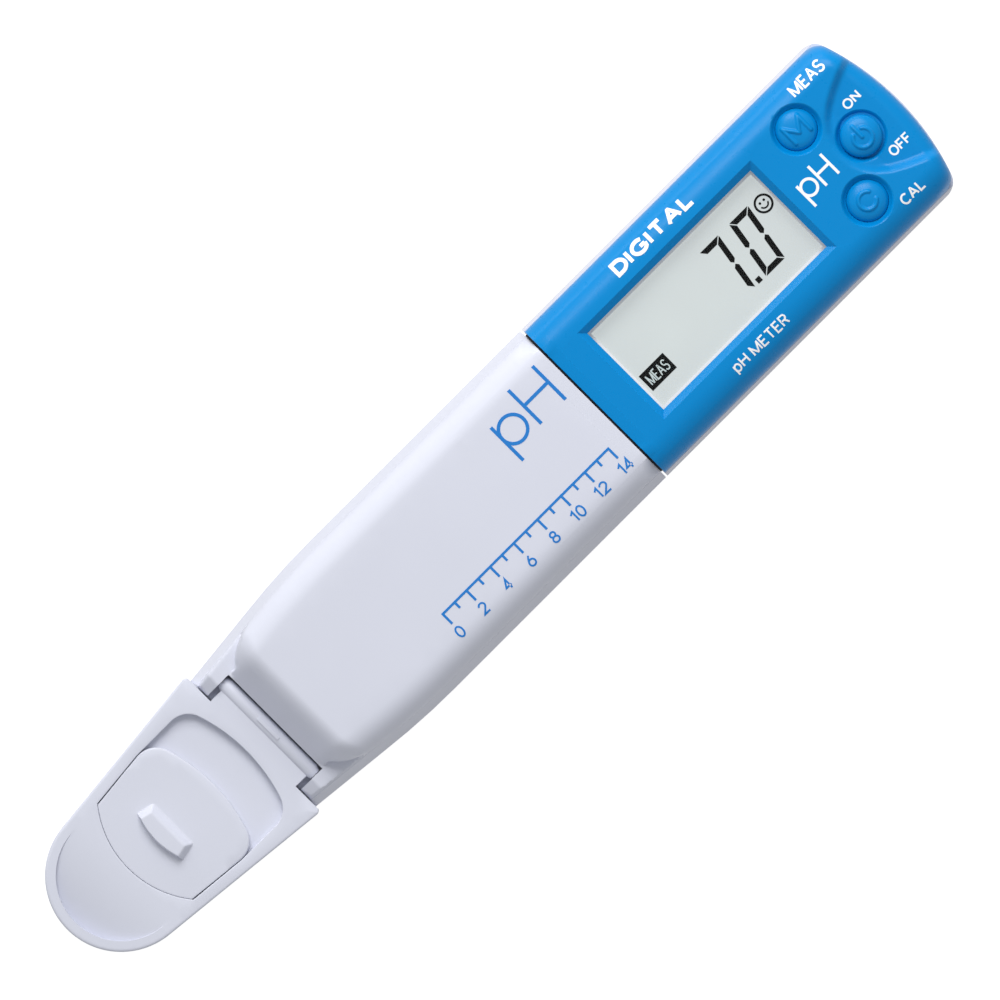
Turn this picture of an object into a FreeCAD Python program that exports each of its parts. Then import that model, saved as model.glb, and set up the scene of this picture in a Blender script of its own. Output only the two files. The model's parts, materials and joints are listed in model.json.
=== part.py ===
"""Pocket pH meter with a plug-in flat sensor, as a parametric FreeCAD document.

The meter lies on its back: +X to the right, +Y towards the display end, +Z out of the display.
The origin is the bottom centre of the whole instrument. All lengths are in millimetres.
"""
import FreeCAD
import Part
import math
import os
import re
import Sketcher

V = FreeCAD.Vector
doc = FreeCAD.newDocument("ph_meter")
sheet = doc.addObject("Spreadsheet::Sheet", "Dims")
ALIASES = set()
parts = {}

# alias, value, what it is
DIMENSIONS = [
    ("case_half", 14.45, "half width of the instrument at its widest"),
    ("case_end", 82.0, "display end of the rear case, on the centre line"),
    ("part_line", 9.6, "height of the line where front and rear shells meet"),
    ("case_top", 20.0, "height of the front face"),
    ("back_round", 4.0, "rounding of the long edges of the back"),
    ("draft_run", 0.5, "how far the rear case leans in towards the parting line"),
    ("wall", 1.7, "wall of the meter's shells"),
    ("meter_start", 22.05, "end face of the meter unit, at the joint"),
    ("sensor_start", 21.75, "end face of the sensor unit, at the joint"),
    ("corner_in", 1.8, "width taken by a top corner's arc"),
    ("corner_up", 2.5, "length taken by a top corner's arc"),
    ("side_end", 77.5, "where the straight sides of the meter unit end"),
    ("cover_half", 13.85, "half width of the front cover"),
    ("cover_end", 81.7, "display end of the front cover"),
    ("cover_round", 4.3, "rounding of the front cover's long edges"),
    ("cover_end_round", 2.2, "rounding of the front cover's end edge"),
    ("cavity_start", 23.65, "inner face of the meter's joint walls"),
    ("cavity_half", 12.1, "half width of the meter's inside"),
    ("cavity_end", 79.0, "end of the meter's inside, under the front cover"),
    ("ceiling", 18.3, "inner face of the front cover"),
    ("window_half", 7.5, "half width of the display window"),
    ("window_low", 28.1, "joint-side edge of the display window"),
    ("window_high", 60.2, "button-side edge of the display window"),
    ("window_bevel", 1.1, "bevel round the display window"),
    ("button_side_x", 7.0, "offset of the two side buttons from the centre line"),
    ("button_side_y", 68.75, "position of the two side buttons along the meter"),
    ("button_mid_y", 74.5, "position of the middle button along the meter"),
    ("button_radius", 2.95, "radius of a button's cap"),
    ("button_hole", 3.05, "radius of a button's hole"),
    ("button_moat", 3.75, "radius of the sunk ring round a button"),
    ("button_flange", 3.7, "radius of a button's flange, under the cover"),
    ("scoop_depth", 0.7, "depth of the sunk field round the middle button"),
    ("board_low", 11.0, "underside of the circuit board"),
    ("board_top", 12.2, "upper side of the circuit board"),
    ("board_start", 25.0, "joint-side end of the circuit board"),
    ("board_end", 78.5, "button-side end of the circuit board"),
    ("board_half", 11.2, "half width of the circuit board"),
    ("cell_radius", 10.0, "radius of a coin cell"),
    ("cell_thick", 3.2, "thickness of a coin cell"),
    ("cell_low", 2.05, "height of the coin cells' outer faces"),
    ("cell_a", 41.7, "position of the first coin cell"),
    ("cell_b", 62.3, "position of the second coin cell"),
    ("lead_back", 2.2, "distance from a cell's centre to its contact leads"),
    ("door_half", 12.0, "half width of the battery cover"),
    ("door_start", 30.0, "joint-side edge of the battery cover"),
    ("door_thick", 2.0, "thickness of the battery cover"),
    ("tongue_low", 1.3, "underside of the battery cover's side tongues"),
    ("tongue_out", 0.6, "how far the side tongues stand out"),
    ("case_screw_x", 10.6, "joint-side case screws, from the centre line"),
    ("case_screw_y", 27.6, "joint-side case screws, along the meter"),
    ("end_screw_x", 10.35, "end case screws, from the centre line"),
    ("end_screw_y", 77.2, "end case screws, along the meter"),
    ("boss_radius", 1.9, "radius of a screw boss"),
    ("frame_half", 8.6, "half width of the display frame"),
    ("frame_end", 62.3, "button-side end of the display frame"),
    ("frame_top", 17.1, "front of the display frame"),
    ("glass_half", 8.0, "half width of the display glass"),
    ("glass_low", 27.05, "joint-side edge of the display glass"),
    ("glass_high", 61.75, "button-side edge of the display glass"),
    ("plug_half", 10.5, "half width of the plug that enters the sensor"),
    ("plug_low", 4.3, "underside of the plug"),
    ("plug_top", 15.7, "upper side of the plug"),
    ("plug_end", 8.0, "end of the plug inside the sensor"),
    ("pin_height", 10.6, "height of the contact pins"),
    ("pin_radius", 0.35, "radius of a contact pin"),
    ("pin_pitch", 2.0, "distance between contact pins"),
    ("flank_run", 1.15, "how far the sensor's lower shell leans in"),
    ("shell_round", 4.0, "rounding of the sensor's upper long edges"),
    ("shell_drop", 1.6, "fall of the sensor's front face from joint to neck"),
    ("taper_start", -20.0, "where the sensor's sides start to draw in"),
    ("taper_end", -33.0, "where the curved draw-in becomes straight"),
    ("taper_radius", 111.0, "radius of the curved draw-in"),
    ("neck_end", -45.1, "end of the hinge ears"),
    ("ear_inner", 9.5, "inner face of a hinge ear, from the centre line"),
    ("ear_top", 12.6, "upper side of a hinge ear"),
    ("hinge_y", -42.25, "hinge axis along the instrument"),
    ("hinge_z", 10.9, "height of the hinge axis"),
    ("barrel_radius", 1.15, "radius of the lid's hinge barrel"),
    ("hinge_pin_radius", 0.6, "radius of the hinge pin"),
    ("lid_start", -45.35, "neck end of the lid's plate"),
    ("lid_half", 13.35, "half width of the lid at its neck end"),
    ("lid_tip_radius", 10.63, "radius of the lid's round tip"),
    ("tip_centre", -71.37, "centre of the round tip"),
    ("lid_top", 11.7, "upper side of the lid"),
    ("lid_low", 3.2, "lower edge of the lid's skirt"),
    ("lid_ceiling", 9.4, "underside of the lid's plate"),
    ("taper_angle", 5.909, "lean of the lid's sides, in degrees"),
    ("skirt", 0.85, "thickness of the lid's skirt"),
    ("tray_inset", 0.95, "distance from the lid's outline to the tray's"),
    ("tray_wall", 1.4, "wall of the sensor tray"),
    ("tray_top", 9.2, "upper edge of the sensor tray"),
    ("tray_floor", 3.0, "inner floor of the sensor tray"),
    ("slot_half", 10.3, "half width of the slide's pocket"),
    ("slot_high", -46.7, "neck end of the slide's pocket"),
    ("slot_low", -69.95, "tip end of the slide's pocket"),
    ("slot_floor", 10.2, "floor of the slide's pocket"),
    ("slide_travel", 6.4, "travel of the slide cap"),
    ("slide_gap", 0.08, "running gap round the slide cap"),
    ("rim", 1.4, "rim left round the finger scoop at the tip"),
]


def fill_sheet():
    """Writes every driving dimension into the spreadsheet."""
    for row, (alias, number, note) in enumerate(DIMENSIONS, start=1):
        sheet.set(f"A{row}", note)
        sheet.set(f"B{row}", str(number))
        sheet.setAlias(f"B{row}", alias)
        ALIASES.add(alias)
    doc.recompute()


def bind(text):
    """An expression text with each alias written as a reference to the sheet."""
    return re.sub(
        r"[a-z_]+", lambda m: "Dims." + m.group(0) if m.group(0) in ALIASES else m.group(0), str(text)
    )


def size(text):
    """The present value of an expression text."""
    return float(sheet.evalExpression(bind(text)))


def keep(label, thing):
    """Registers an object as the finished sub-part of that name."""
    thing.Label = label
    parts[label] = thing
    return thing


# ---------------------------------------------------------------- sketches and features


def new_body(name):
    """An empty body that may hold several separate solids."""
    body = doc.addObject("PartDesign::Body", name)
    body.AllowCompound = True
    return body


def new_sketch(body, role, at="0"):
    """A sketch on one of the body's origin planes, moved to the coordinate given."""
    sketch = body.newObject("Sketcher::SketchObject", body.Name + "_sketch")
    plane = [f for f in body.Origin.OriginFeatures if f.Role == role][0]
    sketch.AttachmentSupport = [(plane, "")]
    sketch.MapMode = "FlatFace"
    sign = "-" if role == "XZ_Plane" else ""
    sketch.setExpression("AttachmentOffset.Base.z", bind(f"{sign}({at})"))
    return sketch


def pin_down(sketch, geometry, point, x, y):
    """Fixes a point of the sketch at expression texts x and y."""
    for kind, axis, text in (("DistanceX", -2, x), ("DistanceY", -1, y)):
        number = size(text)
        if abs(number) < 1e-9:
            sketch.addConstraint(Sketcher.Constraint("PointOnObject", geometry, point, axis))
        else:
            index = sketch.addConstraint(Sketcher.Constraint(kind, geometry, point, number))
            sketch.setExpression(f"Constraints[{index}]", bind(text))


def outline(sketch, points, arcs=None):
    """A closed outline through points. arcs[i] = (radius, side) bends the stretch after point i.

    side is 1 where the arc's centre lies left of the way round, and -1 where it lies right.
    """
    arcs = arcs or {}
    spots = [V(size(x), size(y), 0) for x, y in points]
    ends = []
    for i, start in enumerate(spots):
        stop = spots[(i + 1) % len(spots)]
        if i not in arcs:
            ends.append((sketch.addGeometry(Part.LineSegment(start, stop), False), 1, 2))
            continue
        radius, side = size(arcs[i][0]), arcs[i][1]
        chord = stop - start
        left = V(-chord.y, chord.x, 0).normalize()
        height = math.sqrt(max(radius**2 - chord.Length**2 / 4, 0.0))
        centre = (start + stop) * 0.5 + left * (height * side)
        first, last = (start, stop) if side > 0 else (stop, start)
        angles = [math.atan2(p.y - centre.y, p.x - centre.x) for p in (first, last)]
        circle = Part.Circle(centre, V(0, 0, 1), radius)
        index = sketch.addGeometry(Part.ArcOfCircle(circle, *angles), False)
        ends.append((index, 1, 2) if side > 0 else (index, 2, 1))
        number = sketch.addConstraint(Sketcher.Constraint("Radius", index, radius))
        sketch.setExpression(f"Constraints[{number}]", bind(arcs[i][0]))
    for i, (geometry, first, _) in enumerate(ends):
        before, _, last = ends[i - 1]
        sketch.addConstraint(Sketcher.Constraint("Coincident", before, last, geometry, first))
        pin_down(sketch, geometry, first, *points[i])
    return sketch


def rectangle(sketch, x0, x1, y0, y1, radius=None):
    """A rectangle, with quarter-circle corners where a radius is given."""
    if radius is None:
        return outline(sketch, [(x0, y0), (x1, y0), (x1, y1), (x0, y1)])
    r = f"({radius})"
    points = [
        (f"{x0}+{r}", y0), (f"{x1}-{r}", y0), (x1, f"{y0}+{r}"), (x1, f"{y1}-{r}"),
        (f"{x1}-{r}", y1), (f"{x0}+{r}", y1), (x0, f"{y1}-{r}"), (x0, f"{y0}+{r}"),
    ]
    return outline(sketch, points, {i: (radius, 1) for i in (1, 3, 5, 7)})


def circle(sketch, x, y, radius):
    """A circle at expression texts x and y."""
    index = sketch.addGeometry(Part.Circle(V(size(x), size(y), 0), V(0, 0, 1), size(radius)), False)
    pin_down(sketch, index, 3, x, y)
    number = sketch.addConstraint(Sketcher.Constraint("Radius", index, size(radius)))
    sketch.setExpression(f"Constraints[{number}]", bind(radius))
    return sketch


def feature(body, kind, sketch, length=None, backwards=False, both_ways=False):
    """A Pad or Pocket. A Pocket with no length goes right through, both ways."""
    made = body.newObject(f"PartDesign::{kind}", f"{body.Name}_{kind}")
    made.Profile = sketch
    made.Reversed = backwards
    made.Midplane = both_ways or length is None
    if length is None:
        made.Type = "ThroughAll"
    else:
        made.setExpression("Length", bind(length))
    sketch.Visibility = False
    return made


def loft(body, kind, sketches):
    """An additive or subtractive loft with straight sides through sketches."""
    made = body.newObject(f"PartDesign::{kind}Loft", f"{body.Name}_{kind}Loft")
    made.Profile = sketches[0]
    made.Sections = sketches[1:]
    made.Ruled = True
    return made


def dress_edges(body, kind, measure, amount, wanted):
    """A Fillet or Chamfer on each edge of the body so far for which wanted(edge) is true."""
    doc.recompute()
    tip = body.Tip
    names = [f"Edge{i}" for i, edge in enumerate(tip.Shape.Edges, start=1) if wanted(edge)]
    made = body.newObject(f"PartDesign::{kind}", f"{body.Name}_{kind}")
    made.Base = (tip, names)
    made.setExpression(measure, bind(amount))
    return made


def plate(name, x0, x1, y0, y1, z0, z1, radius=None):
    """A flat plate with plain or rounded corners, lying between heights z0 and z1."""
    body = new_body(name)
    sketch = rectangle(new_sketch(body, "XY_Plane", z0), x0, x1, y0, y1, radius)
    feature(body, "Pad", sketch, f"({z1})-({z0})")
    return body


# ---------------------------------------------------------------- primitives and booleans


def place(thing, x, y, z):
    """Binds an object's position to expression texts."""
    for axis, text in zip("xyz", (x, y, z)):
        thing.setExpression(f"Placement.Base.{axis}", bind(text))
    return thing


def box(x0, x1, y0, y1, z0, z1):
    """A Part::Box between two corners given as expression texts."""
    made = doc.addObject("Part::Box", "Box")
    for name, low, high in (("Length", x0, x1), ("Width", y0, y1), ("Height", z0, z1)):
        made.setExpression(name, bind(f"({high})-({low})"))
    return place(made, x0, y0, z0)


def cylinder(x, y, z, radius, height, along="Z"):
    """A Part::Cylinder that starts at a point and runs along +X, +Y or +Z."""
    made = doc.addObject("Part::Cylinder", "Cylinder")
    made.setExpression("Radius", bind(radius))
    made.setExpression("Height", bind(height))
    turns = {"X": (V(0, 1, 0), 90), "Y": (V(1, 0, 0), -90), "Z": (V(0, 0, 1), 0)}
    made.Placement = FreeCAD.Placement(V(0, 0, 0), FreeCAD.Rotation(*turns[along]))
    return place(made, x, y, z)


def fuse(things):
    """One fused shape."""
    if len(things) == 1:
        return things[0]
    made = doc.addObject("Part::MultiFuse", "Fuse")
    made.Shapes = things
    return made


def cut(base, tools):
    """base with every tool taken away."""
    made = doc.addObject("Part::Cut", "Cut")
    made.Base = base
    made.Tool = fuse(tools)
    return made


def group(things):
    """Separate solids kept together as one sub-part."""
    made = doc.addObject("Part::Compound", "Group")
    made.Links = things
    return made


# ---------------------------------------------------------------- shared outlines


def meter_points(half, start, side_end, end):
    """The meter unit's plan outline, anticlockwise from its right joint corner, with its arcs."""
    shoulder = f"{side_end}+corner_up"
    inner = f"({half}-corner_in)"
    points = [
        (f"{half}", start), (f"{half}", side_end), (inner, shoulder),
        (f"-{inner}", shoulder), (f"-({half})", side_end), (f"-({half})", start),
    ]
    corner = "(corner_in^2+corner_up^2)/(2*corner_in)"
    rise = f"({end}-({shoulder}))"
    crown = f"({inner}^2+{rise}^2)/(2*{rise})"
    return points, {1: (corner, 1), 2: (crown, 1), 3: (corner, 1)}


def tip_points(inset, start):
    """The lid's plan outline drawn in by inset, from its right neck corner round the tip."""
    radius = f"(lid_tip_radius-({inset}))"
    half = f"(lid_half-({inset})/cos(taper_angle)+({start}-lid_start)*tan(taper_angle))"
    touch_x = f"{radius}*cos(taper_angle)"
    touch_y = f"tip_centre-{radius}*sin(taper_angle)"
    low = f"tip_centre-{radius}"
    points = [
        (f"-{half}", start), (f"-{touch_x}", touch_y), ("0", low), (touch_x, touch_y), (half, start),
    ]
    return points, {1: (radius, 1), 2: (radius, 1)}


def frame_round(sketch, points, arcs):
    """An outline inside a large frame, so that a pocket keeps only what the outline holds."""
    rectangle(sketch, "-3*case_half", "3*case_half", "-2*case_end", "2*case_end")
    return outline(sketch, points, arcs)


def shell_section(body, at, half, top, radius):
    """Cross-section of an upper shell: straight sides, rounded shoulders and a flat front."""
    flat, rise = f"({half}-({radius}))", f"({top}-({radius}))"
    points = [
        (f"-({half})", "part_line"), (half, "part_line"), (half, rise),
        (flat, top), (f"-{flat}", top), (f"-({half})", rise),
    ]
    return outline(new_sketch(body, "XZ_Plane", at), points, {2: (radius, 1), 4: (radius, 1)})


def base_section(body, at, half, run):
    """Cross-section of a lower shell: flat back, rounded edges and sides that lean in."""
    flat = f"({half}-back_round)"
    points = [
        (f"-{flat}", "0"), (flat, "0"), (half, "back_round"), (f"{half}-{run}", "part_line"),
        (f"-({half}-{run})", "part_line"), (f"-({half})", "back_round"),
    ]
    return outline(new_sketch(body, "XZ_Plane", at), points, {1: ("back_round", 1), 5: ("back_round", 1)})


def button_spots():
    """Where the three buttons stand, by name."""
    return {
        "measure_button": ("-button_side_x", "button_side_y"),
        "power_button": ("0", "button_mid_y"),
        "calibrate_button": ("button_side_x", "button_side_y"),
    }


def case_screw_spots():
    """Where the four case screws stand."""
    return [
        (f"{side}{x}", y)
        for x, y in (("case_screw_x", "case_screw_y"), ("end_screw_x", "end_screw_y"))
        for side in ("", "-")
    ]


# ---------------------------------------------------------------- meter unit: shells


def make_front_cover():
    """Upper shell of the meter, with the display window and the button holes."""
    body = new_body("cover_body")
    section = shell_section(body, "meter_start", "cover_half", "case_top", "cover_round")
    feature(body, "Pad", section, "cover_end-meter_start", backwards=True)
    plan = meter_points("cover_half", "meter_start", "side_end", "cover_end")
    feature(body, "Pocket", frame_round(new_sketch(body, "XY_Plane", "case_top"), *plan))
    reach = "(cover_end-cover_end_round)"
    end = [
        (reach, "case_top"), ("cover_end", "case_top-cover_end_round"),
        ("cover_end+1", "case_top-cover_end_round"), ("cover_end+1", "case_top+1"),
        (reach, "case_top+1"),
    ]
    end_sketch = outline(new_sketch(body, "YZ_Plane"), end, {0: ("cover_end_round", -1)})
    feature(body, "Pocket", end_sketch)
    inside = shell_section(body, "cavity_start", "cavity_half", "ceiling", "1.5")
    feature(body, "Pocket", inside, "cavity_end-cavity_start")
    field = [
        ("-9.4", "cover_end+1"), ("-8", "button_mid_y+2.7"), ("-5", "button_mid_y-1.6"),
        ("0", "button_mid_y-3.7"), ("5", "button_mid_y-1.6"), ("8", "button_mid_y+2.7"),
        ("9.4", "cover_end+1"),
    ]
    field_sketch = outline(new_sketch(body, "XY_Plane", "case_top"), field, {2: ("7.2", 1), 3: ("7.2", 1)})
    feature(body, "Pocket", field_sketch, "scoop_depth")
    window = rectangle(
        new_sketch(body, "XY_Plane", "case_top"), "-window_half", "window_half", "window_low", "window_high"
    )
    feature(body, "Pocket", window, "case_top-ceiling+0.5")
    level, half = size("case_top"), size("window_half")
    low, high = size("window_low"), size("window_high")

    def on_rim(edge):
        """Whether an edge is one of the four round the window, on the front face."""
        centre = edge.CenterOfMass
        flat = abs(edge.BoundBox.ZMin - level) < 1e-3
        return flat and abs(centre.x) < half + 0.01 and low - 0.01 < centre.y < high + 0.01

    dress_edges(body, "Chamfer", "Size", "window_bevel", on_rim)
    moats = [cylinder(x, y, "case_top-0.9", "button_moat", "2") for x, y in button_spots().values()]
    holes = [cylinder(x, y, "ceiling-1", "button_hole", "4") for x, y in button_spots().values()]
    notch = box("-plug_half-0.1", "plug_half+0.1", "meter_start-1", "cavity_start+1", "part_line-1",
                "plug_top+0.1")
    bosses = [cylinder(x, y, "part_line", "boss_radius", "ceiling-part_line+0.2")
              for x, y in case_screw_spots()]
    bores = [cylinder(x, y, "part_line-1", "0.95", "6.5") for x, y in case_screw_spots()]
    return keep("front_cover", cut(fuse([body] + bosses), moats + holes + [notch] + bores))


def trim_back_plan(body):
    """Cuts a lower part of the meter to its plan outline and rounds its end edge."""
    plan = meter_points("case_half", "meter_start", "side_end-0.2", "case_end")
    feature(body, "Pocket", frame_round(new_sketch(body, "XY_Plane", "part_line"), *plan))
    radius = "1.4"
    end = [
        ("case_end", radius), (f"case_end-{radius}", "0"), (f"case_end-{radius}", "-1"),
        ("case_end+1", "-1"), ("case_end+1", radius),
    ]
    feature(body, "Pocket", outline(new_sketch(body, "YZ_Plane"), end, {0: (radius, -1)}))


def make_rear_case():
    """Lower shell of the meter, with the battery bay, latch lug and strap post."""
    body = new_body("case_body")
    section = base_section(body, "meter_start", "case_half", "draft_run")
    feature(body, "Pad", section, "case_end-meter_start", backwards=True)
    trim_back_plan(body)
    inside = rectangle(
        new_sketch(body, "XY_Plane", "part_line"),
        "-cavity_half", "cavity_half", "cavity_start", "end_screw_y-0.7", "1",
    )
    feature(body, "Pocket", inside, "3")
    bay = rectangle(
        new_sketch(body, "XY_Plane", "part_line"),
        "-cavity_half", "cavity_half", "cavity_start", "door_start-1.1", "1",
    )
    feature(body, "Pocket", bay, "7")
    posts = [cylinder(x, y, "1", "2", "part_line-1") for x, y in case_screw_spots()]
    posts += [cylinder(x, y, "2", "1.25", "board_low-2") for x, y in frame_screw_spots()]
    posts += [cylinder(x, y, "6", "boss_radius", "board_low-6") for x, y in board_screw_spots()]
    cells = box("-cell_radius-0.2", "cell_radius+0.2", "cell_a-cell_radius-0.3",
                "cell_b+cell_radius+0.3", "1", "5.5")
    recess = box("-door_half-0.1", "door_half+0.1", "door_start-0.1", "case_end+1", "-1", "door_thick")
    rails = box("-door_half-tongue_out-0.15", "door_half+tongue_out+0.15", "door_start-0.1",
                "case_end+1", "tongue_low-0.05", "door_thick+0.05")
    groove = seal_ring("groove", "0", "door_thick", "door_thick+0.6")
    notch = box("-plug_half-0.1", "plug_half+0.1", "meter_start-1", "cavity_start+1", "plug_low-0.1",
                "part_line+1")
    latch = box("-4.7", "4.7", "meter_start-1", "28.8", "-1", "1.3")
    strap = box("-4", "4", "case_end-3.8", "case_end+1", "3.2", "8.2")
    slots = [box("9.5", "10.1", f"{c}-lead_back-0.9", f"{c}-lead_back+0.9", "5", "7")
             for c in ("cell_a", "cell_b")]
    slots += [box("-10.2", "-10", f"{c}-lead_back-0.9", f"{c}-lead_back+0.9", "5", "7")
              for c in ("cell_a", "cell_b")]
    screws = [cylinder(x, y, "-1", "1.05", "part_line+2") for x, y in case_screw_spots()]
    screws += [cylinder(x, y, "-1", "2", "4.2") for x, y in case_screw_spots()]
    screws += [cylinder(x, y, "board_low-3.5", "0.75", "4") for x, y in board_screw_spots()]
    screws += [cylinder(x, y, "board_low-3.5", "0.65", "4") for x, y in frame_screw_spots()]
    seal = seal_cord("cord_groove", "0.05", "part_line-0.6", "part_line+1")
    tools = [cells, recess, rails, groove, notch, latch, strap, seal] + slots + screws
    shell = cut(fuse([body] + posts), tools)
    lug = box("-1.4", "1.4", "25.4", "27.2", "0.35", "1.5")
    post = cylinder("0", "case_end-1.2", "3", "1", "5.4")
    return keep("rear_case", fuse([shell, lug, post]))


def frame_screw_spots():
    """Where the display frame is screwed down."""
    return [("7.2", "board_start+1.2"), ("-7.2", "board_start+1.2")]


def board_screw_spots():
    """Where the circuit board itself is screwed down."""
    return [("9.9", "frame_end+1.1"), ("-9.9", "frame_end+1.1")]


def seal_ring(name, extra, low, high):
    """Rectangular ring round the battery bay, grown by extra on each side."""
    outer = plate(name + "_outer", f"-11.4-{extra}", f"11.4+{extra}", f"30.6-{extra}", f"73.4+{extra}",
                  low, high, "1.5")
    inner = plate(name + "_inner", f"-10.7+{extra}", f"10.7-{extra}", f"31.3+{extra}", f"72.7-{extra}",
                  low, high, "0.8")
    return cut(outer, [inner])


def seal_cord(name, extra, low, high):
    """U-shaped cord in the rim of the rear case, open at the joint."""
    body = new_body(name)
    outer, arcs = meter_points(f"(13.3+{extra})", f"24-{extra}", "side_end", f"(81+{extra})")
    inner, _ = meter_points(f"(12.7-{extra})", f"24-{extra}", "side_end", f"(80.4-{extra})")
    corner = arcs[1][0]
    rise = "(80.4-side_end-corner_up)"
    crown = f"((12.7-corner_in-{extra})^2+({rise}-{extra})^2)/(2*({rise}-{extra}))"
    points = outer + inner[::-1]
    bends = dict(arcs)
    bends.update({7: (corner, -1), 8: (crown, -1), 9: (corner, -1)})
    feature(body, "Pad", outline(new_sketch(body, "XY_Plane", low), points, bends), f"{high}-({low})")
    return body


def make_case_seals():
    """The cord between the two meter shells, and the ring under the battery cover."""
    keep("case_seal_cord", seal_cord("case_seal", "0", "part_line-0.55", "part_line-0.02"))
    keep("battery_seal_ring", seal_ring("battery_seal", "-0.04", "door_thick+0.02", "door_thick+0.55"))


def make_case_screws():
    """Four screws that go in from the back and hold the meter shells together."""
    solids = []
    for x, y in case_screw_spots():
        head = cylinder(x, y, "2.3", "1.7", "0.9")
        shank = cylinder(x, y, "3.2", "0.9", "11")
        socket = cylinder(x, y, "2", "0.75", "0.8")
        solids.append(cut(fuse([head, shank]), [socket]))
    keep("case_screws", group(solids))


def make_battery_cover():
    """Sliding cover of the battery bay, which runs in side rails and leaves over the end."""
    body = new_body("door_body")
    edge = "(back_round-sqrt(back_round^2-(door_half-case_half+back_round)^2))"
    flat = "(case_half-back_round)"
    top = "door_thick-0.05"
    points = [
        (f"-{flat}", "0"), (flat, "0"), ("door_half", edge), ("door_half", "tongue_low"),
        ("door_half+tongue_out", "tongue_low"), ("door_half+tongue_out", top),
        ("-door_half-tongue_out", top), ("-door_half-tongue_out", "tongue_low"),
        ("-door_half", "tongue_low"), ("-door_half", edge),
    ]
    section = outline(new_sketch(body, "XZ_Plane", "door_start"), points,
                      {1: ("back_round", 1), 9: ("back_round", 1)})
    feature(body, "Pad", section, "case_end-door_start", backwards=True)
    trim_back_plan(body)
    ribs = [box("-5", "5", f"case_end-{8 + 1.4 * i}", f"case_end-{7.3 + 1.4 * i}", "-1", "0.35")
            for i in range(5)]
    return keep("battery_cover", cut(body, ribs))


# ---------------------------------------------------------------- meter unit: display


def make_display():
    """Lens, glass, polarisers, frame and contact strips of the display."""
    keep("window_lens", plate("lens", "-8.6", "8.6", "window_low-1.2", "window_high+1.2",
                              "frame_top+0.05", "ceiling-0.05", "0.6"))
    outer = box("-frame_half", "frame_half", "board_start", "frame_end", "board_top", "frame_top")
    pocket = box("-glass_half-0.08", "glass_half+0.08", "glass_low-0.08", "glass_high+0.08",
                 "board_top-1", "frame_top-0.4")
    opening = box("-window_half+0.4", "window_half-0.4", "window_low+0.35", "window_high-0.35",
                  "board_top", "frame_top+1")
    screws = [cylinder(x, y, "board_top-1", "0.7", "8") for x, y in frame_screw_spots()]
    screws += [cylinder(x, y, "board_top+1.8", "1.25", "8") for x, y in frame_screw_spots()]
    keep("display_frame", cut(outer, [pocket, opening] + screws))
    layers = [
        ("front_polariser", "glass_low+1", "glass_high-1", "16.46", "16.64"),
        ("display_front_glass", "glass_low", "glass_high", "15.91", "16.45"),
        ("display_rear_glass", "glass_low+2.3", "glass_high-2.3", "15.36", "15.9"),
        ("rear_reflector", "glass_low+2.6", "glass_high-2.6", "15.2", "15.35"),
    ]
    for label, low, high, bottom, top in layers:
        keep(label, plate(label + "_body", "-glass_half", "glass_half", low, high, bottom, top, "0.3"))
    keep("display_backing_pad", plate("backing", "-7", "7", "31", "58", "board_top+0.02", "15.18", "1"))
    strips = [box("-7.6", "7.6", y, f"{y}+1.2", "board_top+0.02", "15.9")
              for y in ("glass_low+0.3", "glass_high-1.5")]
    keep("contact_strips", group(strips))


def segment_shape(points, low, thick):
    """A thin flat solid with straight edges."""
    wire = Part.makePolygon([V(x, y, low) for x, y in points + points[:1]])
    return Part.Face(wire).extrude(V(0, 0, thick))


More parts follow.
